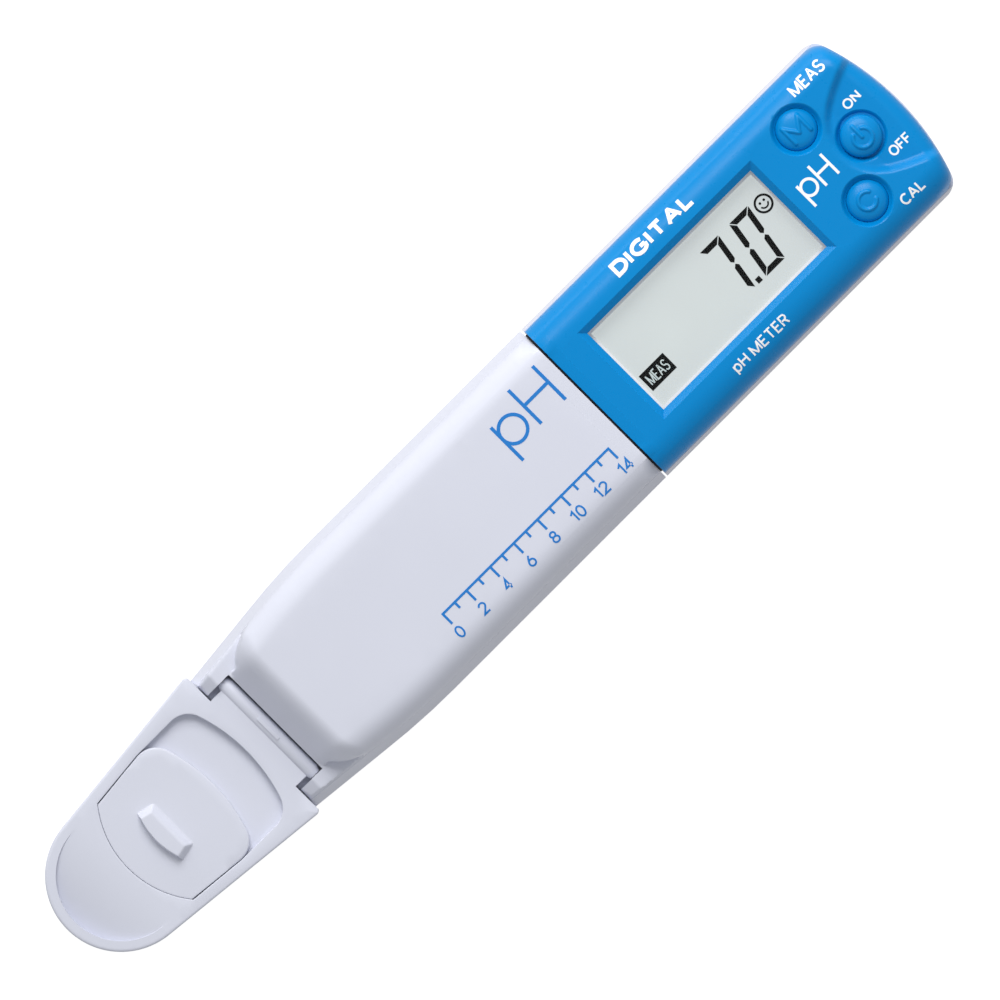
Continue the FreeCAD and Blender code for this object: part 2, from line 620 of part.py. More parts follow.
def make_segments():
    """The dark figures of the display: two leaning digits, a point, a tag and a round face mark."""
    low, thick = 16.66, 0.04
    foot, head = 4.52, -4.32
    width, lean, stroke, gap = 3.72, 1.45, 0.84, 0.1
    middle = (foot + head) / 2

    def at(along, x, right):
        """A point of a digit: along is 0 at its left foot and width at its right foot."""
        return (x, right + along + lean * (foot - x) / (foot - head))

    def bar(right, x, outward):
        """A cross bar of a digit, whose long edge lies outward."""
        inner = x - outward * stroke
        long_edge = [at(gap, x, right), at(width - gap, x, right)]
        short_edge = [at(width - stroke - gap, inner, right), at(stroke + gap, inner, right)]
        return segment_shape(long_edge + short_edge, low, thick)

    def upright(right, from_x, to_x, along, inward):
        """Half of a digit's side, pointed where it meets its neighbours."""
        step = 1 if to_x > from_x else -1
        points = [
            at(along, from_x + step * gap, right),
            at(along + inward * stroke, from_x + step * (stroke + gap), right),
            at(along + inward * stroke, to_x - step * (stroke / 2 + gap), right),
            at(along + inward * stroke / 2, to_x - step * gap, right),
            at(along, to_x - step * (stroke / 2 + gap), right),
        ]
        return segment_shape(points, low, thick)

    solids = []
    for right, whole in ((45.54, False), (51.34, True)):
        solids.append(bar(right, head, -1))
        solids.append(upright(right, head, middle, width, -1))
        solids.append(upright(right, foot, middle, width, -1))
        if whole:
            solids.append(bar(right, foot, 1))
            solids.append(upright(right, head, middle, 0, 1))
            solids.append(upright(right, foot, middle, 0, 1))
    point = [(foot - stroke, 49.9), (foot, 49.9), (foot, 50.7), (foot - stroke, 50.7)]
    solids.append(segment_shape(point, low, thick))
    tag = [(1.8, 28.9), (4.65, 28.9), (4.65, 33.6), (1.8, 33.6)]
    solids.append(segment_shape(tag, low, thick))
    centre = V(-2.95, 58.28, low)
    solids.append(Part.makeCylinder(1.4, thick, centre).cut(Part.makeCylinder(1.08, thick, centre)))
    for side in (-1, 1):
        solids.append(Part.makeCylinder(0.19, thick, centre + V(-0.35, 0.38 * side, 0)))
    smile = Part.makeCylinder(0.76, thick, centre).cut(Part.makeCylinder(0.52, thick, centre))
    solids.append(smile.common(Part.makeBox(1, 2, thick, centre + V(0.15, -1, 0))))
    figures = doc.addObject("Part::Feature", "Figures")
    figures.Shape = Part.makeCompound(solids)
    keep("display_segments", figures)


# ---------------------------------------------------------------- meter unit: electronics


def make_board():
    """Circuit board, cut in round the screw bosses at its four corners."""
    body = new_body("board")
    near, far = "board_start+5.2", "board_end-3.3"
    points = [
        ("-8.5", "board_start"), ("8.5", "board_start"), ("8.5", near), ("board_half", near),
        ("board_half", far), ("8.1", far), ("8.1", "board_end"), ("-8.1", "board_end"), ("-8.1", far),
        ("-board_half", far), ("-board_half", near), ("-8.5", near),
    ]
    sketch = outline(new_sketch(body, "XY_Plane", "board_low"), points)
    feature(body, "Pad", sketch, "board_top-board_low")
    holes = [cylinder(x, y, "board_low-1", "0.85", "4")
             for x, y in frame_screw_spots() + board_screw_spots()]
    holes += [box(x0, x1, f"{c}-lead_back-0.95", f"{c}-lead_back+0.95", "board_low-1", "board_top+1")
              for c in ("cell_a", "cell_b") for x0, x1 in (("9.45", "10.15"), ("-10.3", "-9.95"))]
    keep("main_board", cut(body, holes))


def make_chips():
    """Processor, amplifier, crystal and small parts on the underside of the board."""
    under = "board_low-0.02"
    keep("processor_chip", plate("processor", "-4", "4", "44", "52", f"{under}-1.1", under, "0.3"))
    keep("amplifier_chip", plate("amplifier", "-2.5", "2.5", "32.5", "36.5", f"{under}-1.2", under, "0.3"))
    keep("clock_crystal", cylinder("-8", "56", f"{under}-0.8", "0.75", "5", along="X"))
    small = [(-7, 34), (-7, 36), (-7, 38), (6, 34), (6, 36), (6.5, 46), (6.5, 48), (-7, 46), (-7, 48),
             (-3, 66), (-1, 66), (1, 66), (3, 66), (5, 56), (7, 56)]
    solids = [box(f"{x}-0.8", f"{x}+0.8", f"{y}-0.4", f"{y}+0.4", f"{under}-0.6", under) for x, y in small]
    keep("small_components", group(solids))


def make_switches():
    """Press switches on the board, with the rubber mat that seals them."""
    solids = []
    for x, y in button_spots().values():
        solids.append(fuse([cylinder(x, y, "board_top", "2.3", "1"),
                            cylinder(x, y, "board_top+0.9", "1.1", "0.5")]))
    keep("press_switches", group(solids))
    body = new_body("mat")
    points = [
        ("-10.9", "64.9"), ("10.9", "64.9"), ("10.9", "72.6"), ("5.6", "72.6"), ("5.6", "78.4"),
        ("-5.6", "78.4"), ("-5.6", "72.6"), ("-10.9", "72.6"),
    ]
    feature(body, "Pad", outline(new_sketch(body, "XY_Plane", "board_top+0.02"), points), "2.35")
    wells = [cylinder(x, y, "board_top-1", "2.8", "2.7") for x, y in button_spots().values()]
    rings = [cut(cylinder(x, y, "board_top+2.1", "2.6", "1"), [cylinder(x, y, "board_top+2", "2.2", "2")])
             for x, y in button_spots().values()]
    keep("keypad_mat", cut(body, wells + rings))


def make_buttons():
    """Three buttons: a domed cap, a flange that stops under the cover and a stem below."""
    for label, (x, y) in button_spots().items():
        body = new_body(label + "_body")
        points = [
            ("0", "15.15"), ("1.6", "15.15"), ("1.6", "17.4"), ("button_flange", "17.4"),
            ("button_flange", "ceiling-0.1"), ("button_radius", "ceiling-0.1"),
            ("button_radius", "case_top-0.8"), ("button_radius-0.5", "case_top-0.35"), ("0", "case_top"),
        ]
        arcs = {6: ("0.55", 1), 7: ("8.75", 1)}
        sketch = outline(new_sketch(body, "XZ_Plane"), points, arcs)
        turn = body.newObject("PartDesign::Revolution", label + "_turn")
        turn.Profile = sketch
        turn.ReferenceAxis = (sketch, ["V_Axis"])
        turn.Angle = 360
        body.setExpression("Placement.Base.x", bind(x))
        body.setExpression("Placement.Base.y", bind(y))
        keep(label, body)


def make_connector():
    """Plug that carries the contact pins into the sensor, its pins and the joint's seal."""
    tube = new_body("plug_tube")
    rectangle_sketch = rectangle(new_sketch(tube, "XZ_Plane", "plug_end"), "-plug_half", "plug_half",
                                 "plug_low", "plug_top", "2")
    feature(tube, "Pad", rectangle_sketch, "cavity_start+0.1-plug_end", backwards=True)
    flange = box("-11.2", "11.2", "cavity_start+0.05", "board_start-0.1", "2.7", "17.3")
    inside = box("-9.3", "9.3", "plug_end+1.2", "board_start+1", "5.5", "14.5")
    pins = [f"{i}*pin_pitch" for i in range(-2, 3)]
    holes = [cylinder(x, "plug_end-1", "pin_height", "pin_radius+0.01", "3", along="Y") for x in pins]
    ring = [ring_groove()]
    keep("connector_plug", cut(fuse([tube, flange]), [inside] + holes + ring))
    solids = [cylinder(x, "plug_end-1.8", "pin_height", "pin_radius", "board_start+3-plug_end+1.8", "Y")
              for x in pins]
    keep("contact_pins", group(solids))
    outer = new_body("joint_outer")
    outer_sketch = rectangle(new_sketch(outer, "XZ_Plane", "sensor_start+0.04"), "-13.4", "13.4", "1.5",
                             "case_top-0.6", "4")
    feature(outer, "Pad", outer_sketch, "0.22", backwards=True)
    inner = box("-plug_half-0.02", "plug_half+0.02", "sensor_start-1", "meter_start+1", "plug_low-0.02",
                "plug_top+0.02")
    keep("joint_gasket", cut(outer, [inner]))


def ring_groove():
    """Groove round the plug for its sealing ring."""
    outer = box("-plug_half-1", "plug_half+1", "17", "18.6", "plug_low-1", "plug_top+1")
    core = box("-plug_half+0.6", "plug_half-0.6", "16", "20", "plug_low+0.6", "plug_top-0.6")
    return cut(outer, [core])


def make_plug_ring():
    """Rubber ring that seals the plug inside the sensor."""
    outer = new_body("ring_outer")
    sketch = rectangle(new_sketch(outer, "XZ_Plane", "17.1"), "-plug_half-0.05", "plug_half+0.05",
                       "plug_low-0.05", "plug_top+0.05", "2")
    feature(outer, "Pad", sketch, "1.4", backwards=True)
    core = box("-plug_half+0.59", "plug_half-0.59", "16", "20", "plug_low+0.59", "plug_top-0.59")
    keep("plug_seal_ring", cut(outer, [core]))


def make_screws():
    """Screws of the display frame and of the circuit board."""
    frame, board = [], []
    for x, y in frame_screw_spots():
        screw = fuse([cylinder(x, y, "board_top+1.8", "1.1", "0.9"),
                      cylinder(x, y, "board_low-3", "0.6", "board_top-board_low+5")])
        frame.append(cut(screw, [cylinder(x, y, "board_top+2.2", "0.5", "2")]))
    for x, y in board_screw_spots():
        screw = fuse([cylinder(x, y, "board_top", "1.4", "0.9"),
                      cylinder(x, y, "board_low-3", "0.7", "board_top-board_low+3.2")])
        board.append(cut(screw, [cylinder(x, y, "board_top+0.4", "0.6", "2")]))
    keep("frame_screws", group(frame))
    keep("board_screws", group(board))


def make_battery():
    """Two coin cells and their contacts."""
    top = "cell_low+cell_thick"
    for label, y in (("coin_cell_a", "cell_a"), ("coin_cell_b", "cell_b")):
        can = cylinder("0", y, "cell_low", "cell_radius", "cell_thick-0.45")
        base = cylinder("0", y, "cell_low", "cell_radius-1.2", "cell_thick")
        keep(label, fuse([can, base]))
    plus, minus = [], []
    for y in ("cell_a", "cell_b"):
        tab = f"{y}-lead_back"
        minus.append(fuse([
            box("-5", "9.95", f"{tab}-0.7", f"{tab}+0.7", f"{top}+0.02", f"{top}+0.2"),
            box("9.6", "9.95", f"{tab}-0.7", f"{tab}+0.7", f"{top}+0.02", "board_top+0.7"),
        ]))
        plus.append(fuse([
            box("-10.17", "-10.04", f"{y}-3.2", f"{y}+1", "2.4", "5.4"),
            box("-10.17", "-10.04", f"{tab}-0.7", f"{tab}+0.7", "2.4", "board_top+0.7"),
        ]))
    keep("positive_contacts", group(plus))
    keep("negative_contacts", group(minus))


# ---------------------------------------------------------------- sensor unit


def sensor_stations():
    """Positions along the sensor unit with the half width of its back there."""
    step = "(taper_end-taper_start)/3"
    curve = [f"taper_start+{i}*{step}" for i in range(4)]
    stations = [("sensor_start", "case_half")]
    stations += [(at, f"(case_half-({at}-taper_start)^2/(2*taper_radius))") for at in curve]
    neck_half = "(lid_half-tray_inset/cos(taper_angle)+(neck_end-lid_start)*tan(taper_angle))"
    stations.append(("neck_end", neck_half))
    return stations


def make_sensor_front():
    """Upper shell of the sensor: flat front, shoulder at the neck and two hinge ears."""
    body = new_body("sensor_front")
    sections = []
    for at, half in sensor_stations():
        top = f"(case_top-shell_drop*(sensor_start-({at}))/(sensor_start-neck_end))"
        sections.append(shell_section(body, at, f"({half}-flank_run-0.05)", top, "shell_round"))
    loft(body, "Additive", sections)
    neck = [
        ("-35.9", "22"), ("-35.9", "18.58"), ("-38.05", "17"), ("-40.1", "ear_top"),
        ("-43.1", "ear_top"), ("neck_end-0.05", "part_line+1.1"), ("neck_end-2", "part_line+1.1"),
        ("neck_end-2", "22"),
    ]
    feature(body, "Pocket", outline(new_sketch(body, "YZ_Plane"), neck, {1: ("2.2", 1)}))
    between = [
        ("-40.1", "ear_top+1"), ("-40.1", "ear_top"), ("-40.75", "ear_top-1.5"),
        ("-40.75", "part_line-1"), ("neck_end-2", "part_line-1"), ("neck_end-2", "ear_top+1"),
    ]
    feature(body, "Pocket", outline(new_sketch(body, "YZ_Plane"), between), "2*ear_inner", both_ways=True)
    socket = box("-plug_half-0.1", "plug_half+0.1", "4.6", "sensor_start+1", "part_line-1", "plug_top+0.1")
    bay = box("-10.5", "10.5", "-34.2", "3.4", "part_line-1", "16.4")
    pin = cylinder("-11", "hinge_y", "hinge_z", "hinge_pin_radius+0.01", "22", along="X")
    return keep("sensor_front_shell", cut(body, [socket, bay, pin]))


def make_sensor_rear():
    """Lower shell of the sensor, which carries on past the neck as the tray of the flat sensor."""
    body = new_body("sensor_rear")
    sections = [base_section(body, at, half, "flank_run") for at, half in sensor_stations()]
    loft(body, "Additive", sections)
    points, arcs = tip_points("tray_inset", "neck_end")
    feature(body, "Pad", outline(new_sketch(body, "XY_Plane"), points, arcs), "tray_top")
    limit = size("neck_end")

    def on_tray_bottom(edge):
        """Whether an edge runs round the underside of the tray, past the neck."""
        bounds = edge.BoundBox
        return abs(bounds.ZMax) < 1e-3 and bounds.YMax < limit + 0.01 and bounds.YMin < limit - 1

    dress_edges(body, "Fillet", "Radius", "back_round-0.2", on_tray_bottom)
    points, arcs = tip_points("tray_inset+tray_wall", "neck_end-1.6")
    tray = outline(new_sketch(body, "XY_Plane", "tray_top"), points, arcs)
    feature(body, "Pocket", tray, "tray_top-tray_floor")
    socket = box("-plug_half-0.1", "plug_half+0.1", "4.6", "sensor_start+1", "plug_low-0.1", "part_line+1")
    bay = box("-10.5", "10.5", "-34.2", "3.4", "tray_floor", "part_line+1")
    channel = box("-5.2", "5.2", "neck_end-3", "5", "tray_floor", "tray_floor+0.6")
    riser = box("-5.2", "5.2", "3.3", "5", "tray_floor", "plug_low+0.1")
    latch = box("-4.6", "4.6", "14", "sensor_start+1", "-1", "1.3")
    return keep("sensor_rear_shell", cut(body, [socket, bay, channel, riser, latch]))


def make_latch():
    """Springy tongue of the sensor, which catches the lug on the meter's back."""
    blade = plate("latch_blade", "-4.5", "4.5", "14.1", "28.6", "0.1", "1.25", "1")
    hole = box("-1.6", "1.6", "25.2", "27.4", "-1", "2")
    grip = [box("-3", "3", f"{22.6 + 0.8 * i}", f"{23 + 0.8 * i}", "-1", "0.3") for i in range(3)]
    keep("latch_tongue", cut(blade, [hole] + grip))


def make_sensor_inside():
    """Contact board, flexible lead, gel cartridge and the flat sensor itself."""
    keep("sensor_contact_board", plate("contact_board", "-9", "9", "4.85", "6.1", "4.4", "15", None))
    pads = [box(f"{i}*pin_pitch-0.7", f"{i}*pin_pitch+0.7", "6.1", "6.15", "9.4", "11.8")
            for i in range(-2, 3)]
    keep("contact_pads", group(pads))
    keep("flexible_lead", fuse([box("-5", "5", "neck_end-2.5", "4.82", "tray_floor+0.05", "tray_floor+0.25"),
                                box("-5", "5", "4.64", "4.82", "tray_floor+0.05", "9")]))
    outer = plate("cartridge", "-9", "9", "-33.5", "1.5", "3.6", "15.6", "1.5")
    hollow = plate("cartridge_inside", "-8", "8", "-32.5", "0.5", "4.6", "14.6", "0.8")
    fill_hole = cylinder("0", "-0.5", "10", "2", "3", along="Y")
    keep("gel_cartridge", cut(outer, [hollow, fill_hole]))
    keep("reference_gel", plate("gel", "-7.95", "7.95", "-32.45", "-0.1", "4.65", "14.2", "0.75"))
    keep("cartridge_plug", fuse([cylinder("0", "0", "10", "1.98", "2", along="Y"),
                                 cylinder("0", "1.55", "10", "2.6", "0.9", along="Y")]))
    base = new_body("sensor_base")
    sketch = outline(new_sketch(base, "XY_Plane", "tray_floor+0.3"), *sensing_outline("8.2", "-47.3"))
    feature(base, "Pad", sketch, "1.5")
    keep("sensor_base_plate", base)
    face = "tray_floor+1.8"
    keep("glass_membrane", plate("membrane", "-3.2", "3.2", "-66.2", "-59.8", face, f"{face}+0.35", "0.8"))
    keep("liquid_junction", cylinder("0", "-71.2", face, "1.5", "0.45"))
    strips = [box(f"{x}-0.6", f"{x}+0.6", "-57.2", "-47.8", face, f"{face}+0.05")
              for x in ("-4", "-1.4", "1.4", "4")]
    keep("silver_electrodes", group(strips))
    keep("thermistor", box("-6.6", "-5.4", "-65", "-61", face, f"{face}+0.1"))
    mask = new_body("mask")
    sketch = outline(new_sketch(mask, "XY_Plane", face), *sensing_outline("8", "-57.6"))
    feature(mask, "Pad", sketch, "0.15")
    holes = [box("-3.3", "3.3", "-66.3", "-59.7", "4", "6"), cylinder("0", "-71.2", "4", "1.6", "2"),
             box("-6.7", "-5.3", "-65.1", "-60.9", "4", "6")]
    keep("sensor_mask", cut(mask, holes))


def sensing_outline(half, start):
    """Outline of a layer of the flat sensor: straight sides and a round tip end."""
    centre, radius = "tip_centre", f"({half})"
    points = [(f"-{radius}", start), (f"-{radius}", centre), ("0", f"{centre}-0.9*{radius}"),
              (radius, centre), (radius, start)]
    bend = f"{radius}*1.06"
    return points, {1: (bend, 1), 2: (bend, 1)}


def make_guard():
    """Removable guard that forms the sample well round the sensing area, and the well's seal."""
    body = new_body("guard")
    points, arcs = tip_points("tray_inset+tray_wall+0.12", "-56.5")
    feature(body, "Pad", outline(new_sketch(body, "XY_Plane", "5.5"), points, arcs), "3.4")
    well = plate("well", "-6.6", "6.6", "-75.6", "-58.6", "5", "10", "5")
    slope = box("-4", "4", "-58.7", "-55", "7.2", "10")
    keep("sensor_guard", cut(body, [well, slope]))
    outer = plate("well_seal_outer", "-7.6", "7.6", "-76.6", "-58", "4.97", "5.47", "5.6")
    inner = plate("well_seal_inner", "-6.8", "6.8", "-75.8", "-58.8", "4", "6", "5")
    keep("well_seal", cut(outer, [inner]))


def slide_outline(body, at, gap, shift, half):
    """Outline of the slide's pocket, or of the slide cap where gap and shift draw it in."""
    arc_drop, corner = "1.25", "3.25"
    high = f"(slot_high-{gap}-{shift})"
    neck = f"({high}-{arc_drop})"
    side = f"({half}-{gap})"
    crown_half = f"({side}-2.4)"
    low_half = f"(9.45-{gap})"
    low = f"(slot_low+3.35+{gap})"
    points = [
        (side, "-58"), (side, f"{neck}-{corner}"), (crown_half, neck), (f"-{crown_half}", neck),
        (f"-{side}", f"{neck}-{corner}"), (f"-{side}", "-58"), (f"-{low_half}", low), (low_half, low),
    ]
    corner_radius = f"(2.4^2+{corner}^2)/(2*2.4)"
    crown = f"({crown_half}^2+{arc_drop}^2)/(2*{arc_drop})"
    arcs = {1: (corner_radius, 1), 2: (crown, 1), 3: (corner_radius, 1), 6: ("15", 1)}
    return outline(new_sketch(body, "XY_Plane", at), points, arcs)


def make_lid():
    """Hinged lid that shades the flat sensor: skirt, hinge barrel, slide pocket and finger scoop."""
    body = new_body("lid")
    points, arcs = tip_points("0", "lid_start")
    feature(body, "Pad", outline(new_sketch(body, "XY_Plane", "lid_low"), points, arcs), "lid_top-lid_low")
    points, arcs = tip_points("skirt", "lid_start+3")
    inside = outline(new_sketch(body, "XY_Plane", "lid_low"), points, arcs)
    feature(body, "Pocket", inside, "lid_ceiling-lid_low", backwards=True)
    feature(body, "Pocket", slide_outline(body, "lid_top", "0", "0", "slot_half"), "lid_top-slot_floor")
    scoop = new_sketch(body, "XY_Plane", "lid_top")
    points, arcs = tip_points("rim", "-71.2")
    scoop.AttachmentOffset = FreeCAD.Placement(V(0, 0, 0), FreeCAD.Rotation(V(1, 0, 0), 7))
    drop = "(71.2*sin(7))"
    scoop.setExpression("AttachmentOffset.Base.z", bind(f"lid_top+{drop}"))
    outline(scoop, points, arcs)
    feature(body, "Pocket", scoop, "4", backwards=True)
    opening = new_body("opening")
    spots = [("8.2", "-64.8"), ("-8.2", "-64.8"), ("-8.2", "-66.6"), ("8.2", "-66.6")]
    sketch = outline(new_sketch(opening, "XY_Plane", "lid_ceiling-1"), spots, {2: ("13.5", 1)})
    feature(opening, "Pad", sketch, "3")
    tongue = box("-8.2", "8.2", "lid_start-1", "hinge_y", "hinge_z-barrel_radius", "lid_top-0.1")
    barrel = cylinder("-9.35", "hinge_y", "hinge_z", "barrel_radius", "18.7", along="X")
    stop = box("-1.95", "1.95", "hinge_y-0.55", "hinge_y+0.15", "hinge_z", "hinge_z+barrel_radius+0.15")
    bore = cylinder("-12", "hinge_y", "hinge_z", "hinge_pin_radius+0.05", "24", along="X")
    rails = box("-slot_half-0.45", "slot_half+0.45", "-65.3", "-51.5", "slot_floor+0.05", "slot_floor+0.55")
    keep("light_shield_lid", cut(fuse([body, tongue, barrel, stop]), [opening, bore, rails]))


def make_slide():
    """Slide cap over the sample opening, with side tongues and a thumb grip."""
    body = new_body("slide")
    sketch = slide_outline(body, "slot_floor+0.05", "slide_gap", "slide_travel", "slot_half")
    feature(body, "Pad", sketch, "lid_top-slot_floor-0.1")
    grip = [("-61", "11"), ("-64.3", "11"), ("-64.15", "13"), ("-63.2", "13.15"), ("-62.1", "12.9"),
            ("-61.3", "11.9")]
    sketch = outline(new_sketch(body, "YZ_Plane"), grip)
    feature(body, "Pad", sketch, "8.2", both_ways=True)
    tongues = [box("-slot_half-0.3", "-slot_half+1.6", "-64.9", "-58.6", "slot_floor+0.1",
                   "slot_floor+0.5"),
               box("slot_half-1.6", "slot_half+0.3", "-64.9", "-58.6", "slot_floor+0.1",
                   "slot_floor+0.5")]
    keep("slide_cap", fuse([body] + tongues))


def make_hinge_pin():
    """Steel pin through the lid's barrel and both ears."""
    keep("hinge_pin", cylinder("-10.95", "hinge_y", "hinge_z", "hinge_pin_radius", "21.9", along="X"))


# ---------------------------------------------------------------- build, check, export


def check():
    """Stops if an object failed, or a sub-part isn't made of valid solids."""
    doc.recompute()
    failed = [o.Name for o in doc.Objects if "Invalid" in o.State or "Error" in o.State]
    if failed:
        raise RuntimeError(f"failed objects: {failed}")
    for label, thing in parts.items():
        shape = thing.Shape
        if shape.isNull() or not shape.isValid() or not shape.Solids:
            raise RuntimeError(f"{label} is not a valid solid")


def export():
    """Writes each sub-part's STEP file."""
    os.makedirs("parts", exist_ok=True)
    for old in os.listdir("parts"):
        os.remove(os.path.join("parts", old))
    for label, thing in parts.items():
        thing.Shape.exportStep(f"parts/{label}.step")


fill_sheet()
make_front_cover()
make_rear_case()
make_case_seals()
make_case_screws()
make_battery_cover()
make_display()
make_segments()
make_board()
make_chips()
make_switches()
make_buttons()
make_connector()
make_plug_ring()
make_screws()
make_battery()
make_sensor_front()
make_sensor_rear()
make_latch()
make_sensor_inside()
make_guard()
make_lid()
make_slide()
make_hinge_pin()
check()
export()
for name in sorted(parts):
    print(f"{name:22s} {parts[name].Shape.Volume:9.1f} mm3, {len(parts[name].Shape.Solids)} solid(s)")
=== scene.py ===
"""Looks of the pocket pH meter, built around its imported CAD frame.

Shapes are worked out in millimetres in the frame's axes: +X right, +Y to the display end, +Z out of the
display. A visible shell is a height field over its plan outline: a top surface, an underside and the walls
between them.
"""
import bmesh
import bpy
import json
import math
import numpy as np
from mathutils import Matrix, Vector
from mathutils.geometry import delaunay_2d_cdt


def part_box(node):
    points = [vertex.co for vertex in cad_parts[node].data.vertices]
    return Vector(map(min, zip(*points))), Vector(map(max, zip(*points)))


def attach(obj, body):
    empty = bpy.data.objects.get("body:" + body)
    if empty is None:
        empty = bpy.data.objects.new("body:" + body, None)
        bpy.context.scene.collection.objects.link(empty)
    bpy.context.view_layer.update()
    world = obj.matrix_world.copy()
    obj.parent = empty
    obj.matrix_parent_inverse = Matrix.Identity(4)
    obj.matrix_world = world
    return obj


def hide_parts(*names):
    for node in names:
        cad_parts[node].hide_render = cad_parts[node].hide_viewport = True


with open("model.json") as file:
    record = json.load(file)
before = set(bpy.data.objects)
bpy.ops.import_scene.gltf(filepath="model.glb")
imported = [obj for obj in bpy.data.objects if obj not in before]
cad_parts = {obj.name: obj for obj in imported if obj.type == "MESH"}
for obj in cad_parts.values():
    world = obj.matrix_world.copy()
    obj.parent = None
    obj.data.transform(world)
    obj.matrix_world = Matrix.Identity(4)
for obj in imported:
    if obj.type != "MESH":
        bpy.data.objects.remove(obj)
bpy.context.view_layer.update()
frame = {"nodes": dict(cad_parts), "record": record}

MM = 0.001
ROUND_STEPS = 72
NODES = frame["nodes"]


def span(node):
    """Lowest and highest corner of a CAD node, in millimetres."""
    low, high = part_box(node)
    return np.array(low) / MM, np.array(high) / MM


# ---------------------------------------------------------------- plan geometry


def arc(start, end, radius, side=1, steps=24):
    """Points from start to end on a circle whose centre is left (side 1) or right (-1) of the way."""
    a, b = np.array(start, float), np.array(end, float)
    chord = b - a
    length = np.hypot(*chord)
    left = np.array([-chord[1], chord[0]]) / length
    centre = (a + b) / 2 + left * side * math.sqrt(max(radius**2 - length**2 / 4, 0))
    first = math.atan2(*(a - centre)[::-1])
    last = math.atan2(*(b - centre)[::-1])
    turn = (last - first) * side % (2 * math.pi) * side
    angles = first + turn * np.linspace(0, 1, steps + 1)
    return centre + radius * np.column_stack([np.cos(angles), np.sin(angles)])


def join(*stretches):
    """One closed loop from stretches of points, without repeated corners."""
    points = np.vstack([np.atleast_2d(np.array(s, float)) for s in stretches])
    gaps = np.hypot(*(points - np.roll(points, 1, axis=0)).T)
    return points[gaps > 1e-6]


def refine(points, step, closed=True):
    """The same line with extra points, so that no stretch is longer than step."""
    ends = np.roll(points, -1, axis=0) if closed else points[1:]
    fine = []
    for a, b in zip(points, ends):
        count = max(1, math.ceil(np.hypot(*(b - a)) / step))
        fine += [a + (b - a) * i / count for i in range(count)]
    if not closed:
        fine.append(points[-1])
    return np.array(fine)


def distance(points, line, closed=False):
    """Distance of each point from a polyline."""
    starts = line
    ends = np.roll(line, -1, axis=0)
    if not closed:
        starts, ends = starts[:-1], ends[:-1]
    best = np.full(len(points), 1e9)
    for a, b in zip(starts, ends):
        way = b - a
        share = np.clip((points - a) @ way / max(way @ way, 1e-12), 0, 1)
        best = np.minimum(best, np.hypot(*(points - a - share[:, None] * way).T))
    return best


def inside(points, loop):
    """Which points lie inside a closed loop."""
    found = np.zeros(len(points), bool)
    x, y = points[:, 0], points[:, 1]
    for (x0, y0), (x1, y1) in zip(loop, np.roll(loop, -1, axis=0)):
        if y0 == y1:
            continue
        crossed = (y0 > y) != (y1 > y)
        found ^= crossed & (x < x0 + (y - y0) * (x1 - x0) / (y1 - y0))
    return found


def corner_offsets(after, before, least):
    """Left-hand offset at each corner for one unit to the side, from the ways after and before it."""
    after = after / np.hypot(*after.T)[:, None]
    before = before / np.hypot(*before.T)[:, None]
    way = after + before
    normal = np.column_stack([-way[:, 1], way[:, 0]])
    normal /= np.hypot(*normal.T)[:, None]
    share = np.sum(normal * np.column_stack([-after[:, 1], after[:, 0]]), axis=1)
    return normal / np.clip(share, least, 1)[:, None]


def inset(loop, amount):
    """A closed anticlockwise loop moved inwards, keeping only points that stay the full amount away."""
    after = np.roll(loop, -1, axis=0) - loop
    moved = loop + corner_offsets(after, np.roll(after, 1, axis=0), 0.5) * amount
    if amount == 0:
        return moved
    far = distance(moved, loop, closed=True) > abs(amount) * 0.97
    return moved[far]


def smooth(value):
    """Soft step from 0 to 1 as value goes from 0 to 1."""
    t = np.clip(value, 0, 1)
    return t * t * (3 - 2 * t)


def quarter(depth, radius):
    """Fall of a rounded edge, where depth is the distance past the start of the rounding."""
    d = np.clip(depth, 0, radius)
    return radius - np.sqrt(radius**2 - d**2)


def soft_min(a, b, blend):
    """The smaller of two heights, with a rounded change between them."""
    h = np.clip(0.5 + 0.5 * (b - a) / blend, 0, 1)
    return b * (1 - h) + a * h - blend * h * (1 - h)


def grid(low, high, step):
    """Staggered grid points between two corners."""
    rows = np.arange(low[1] + step / 2, high[1], step * 0.87)
    points = []
    for i, y in enumerate(rows):
        xs = np.arange(low[0] + step * (0.5 + 0.5 * (i % 2)), high[0], step)
        points.append(np.column_stack([xs, np.full(len(xs), y)]))
    return np.vstack(points)


# ---------------------------------------------------------------- meshes


def make_object(name, verts, faces, material, body, sharp=35):
    """A mesh object from millimetre coordinates, riding on a body."""
    mesh = bpy.data.meshes.new(name)
    mesh.from_pydata([tuple(v) for v in np.asarray(verts, float) * MM], [], [tuple(f) for f in faces])
    mesh.validate()
    mesh.polygons.foreach_set("use_smooth", [True] * len(mesh.polygons))
    mesh.set_sharp_from_angle(angle=math.radians(sharp))
    mesh.materials.append(material)
    made = bpy.data.objects.new(name, mesh)
    bpy.context.scene.collection.objects.link(made)
    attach(made, body)
    return made


def tidy_triangles(flat, faces):
    """Triangles turned to face up, without unused points."""
    a, b, c = (flat[faces[:, i]] for i in range(3))
    area = (b - a)[:, 0] * (c - a)[:, 1] - (b - a)[:, 1] * (c - a)[:, 0]
    faces = np.where((area < 0)[:, None], faces[:, ::-1], faces)
    used = np.unique(faces)
    renumber = np.full(len(flat), -1)
    renumber[used] = np.arange(len(used))
    return flat[used], renumber[faces]


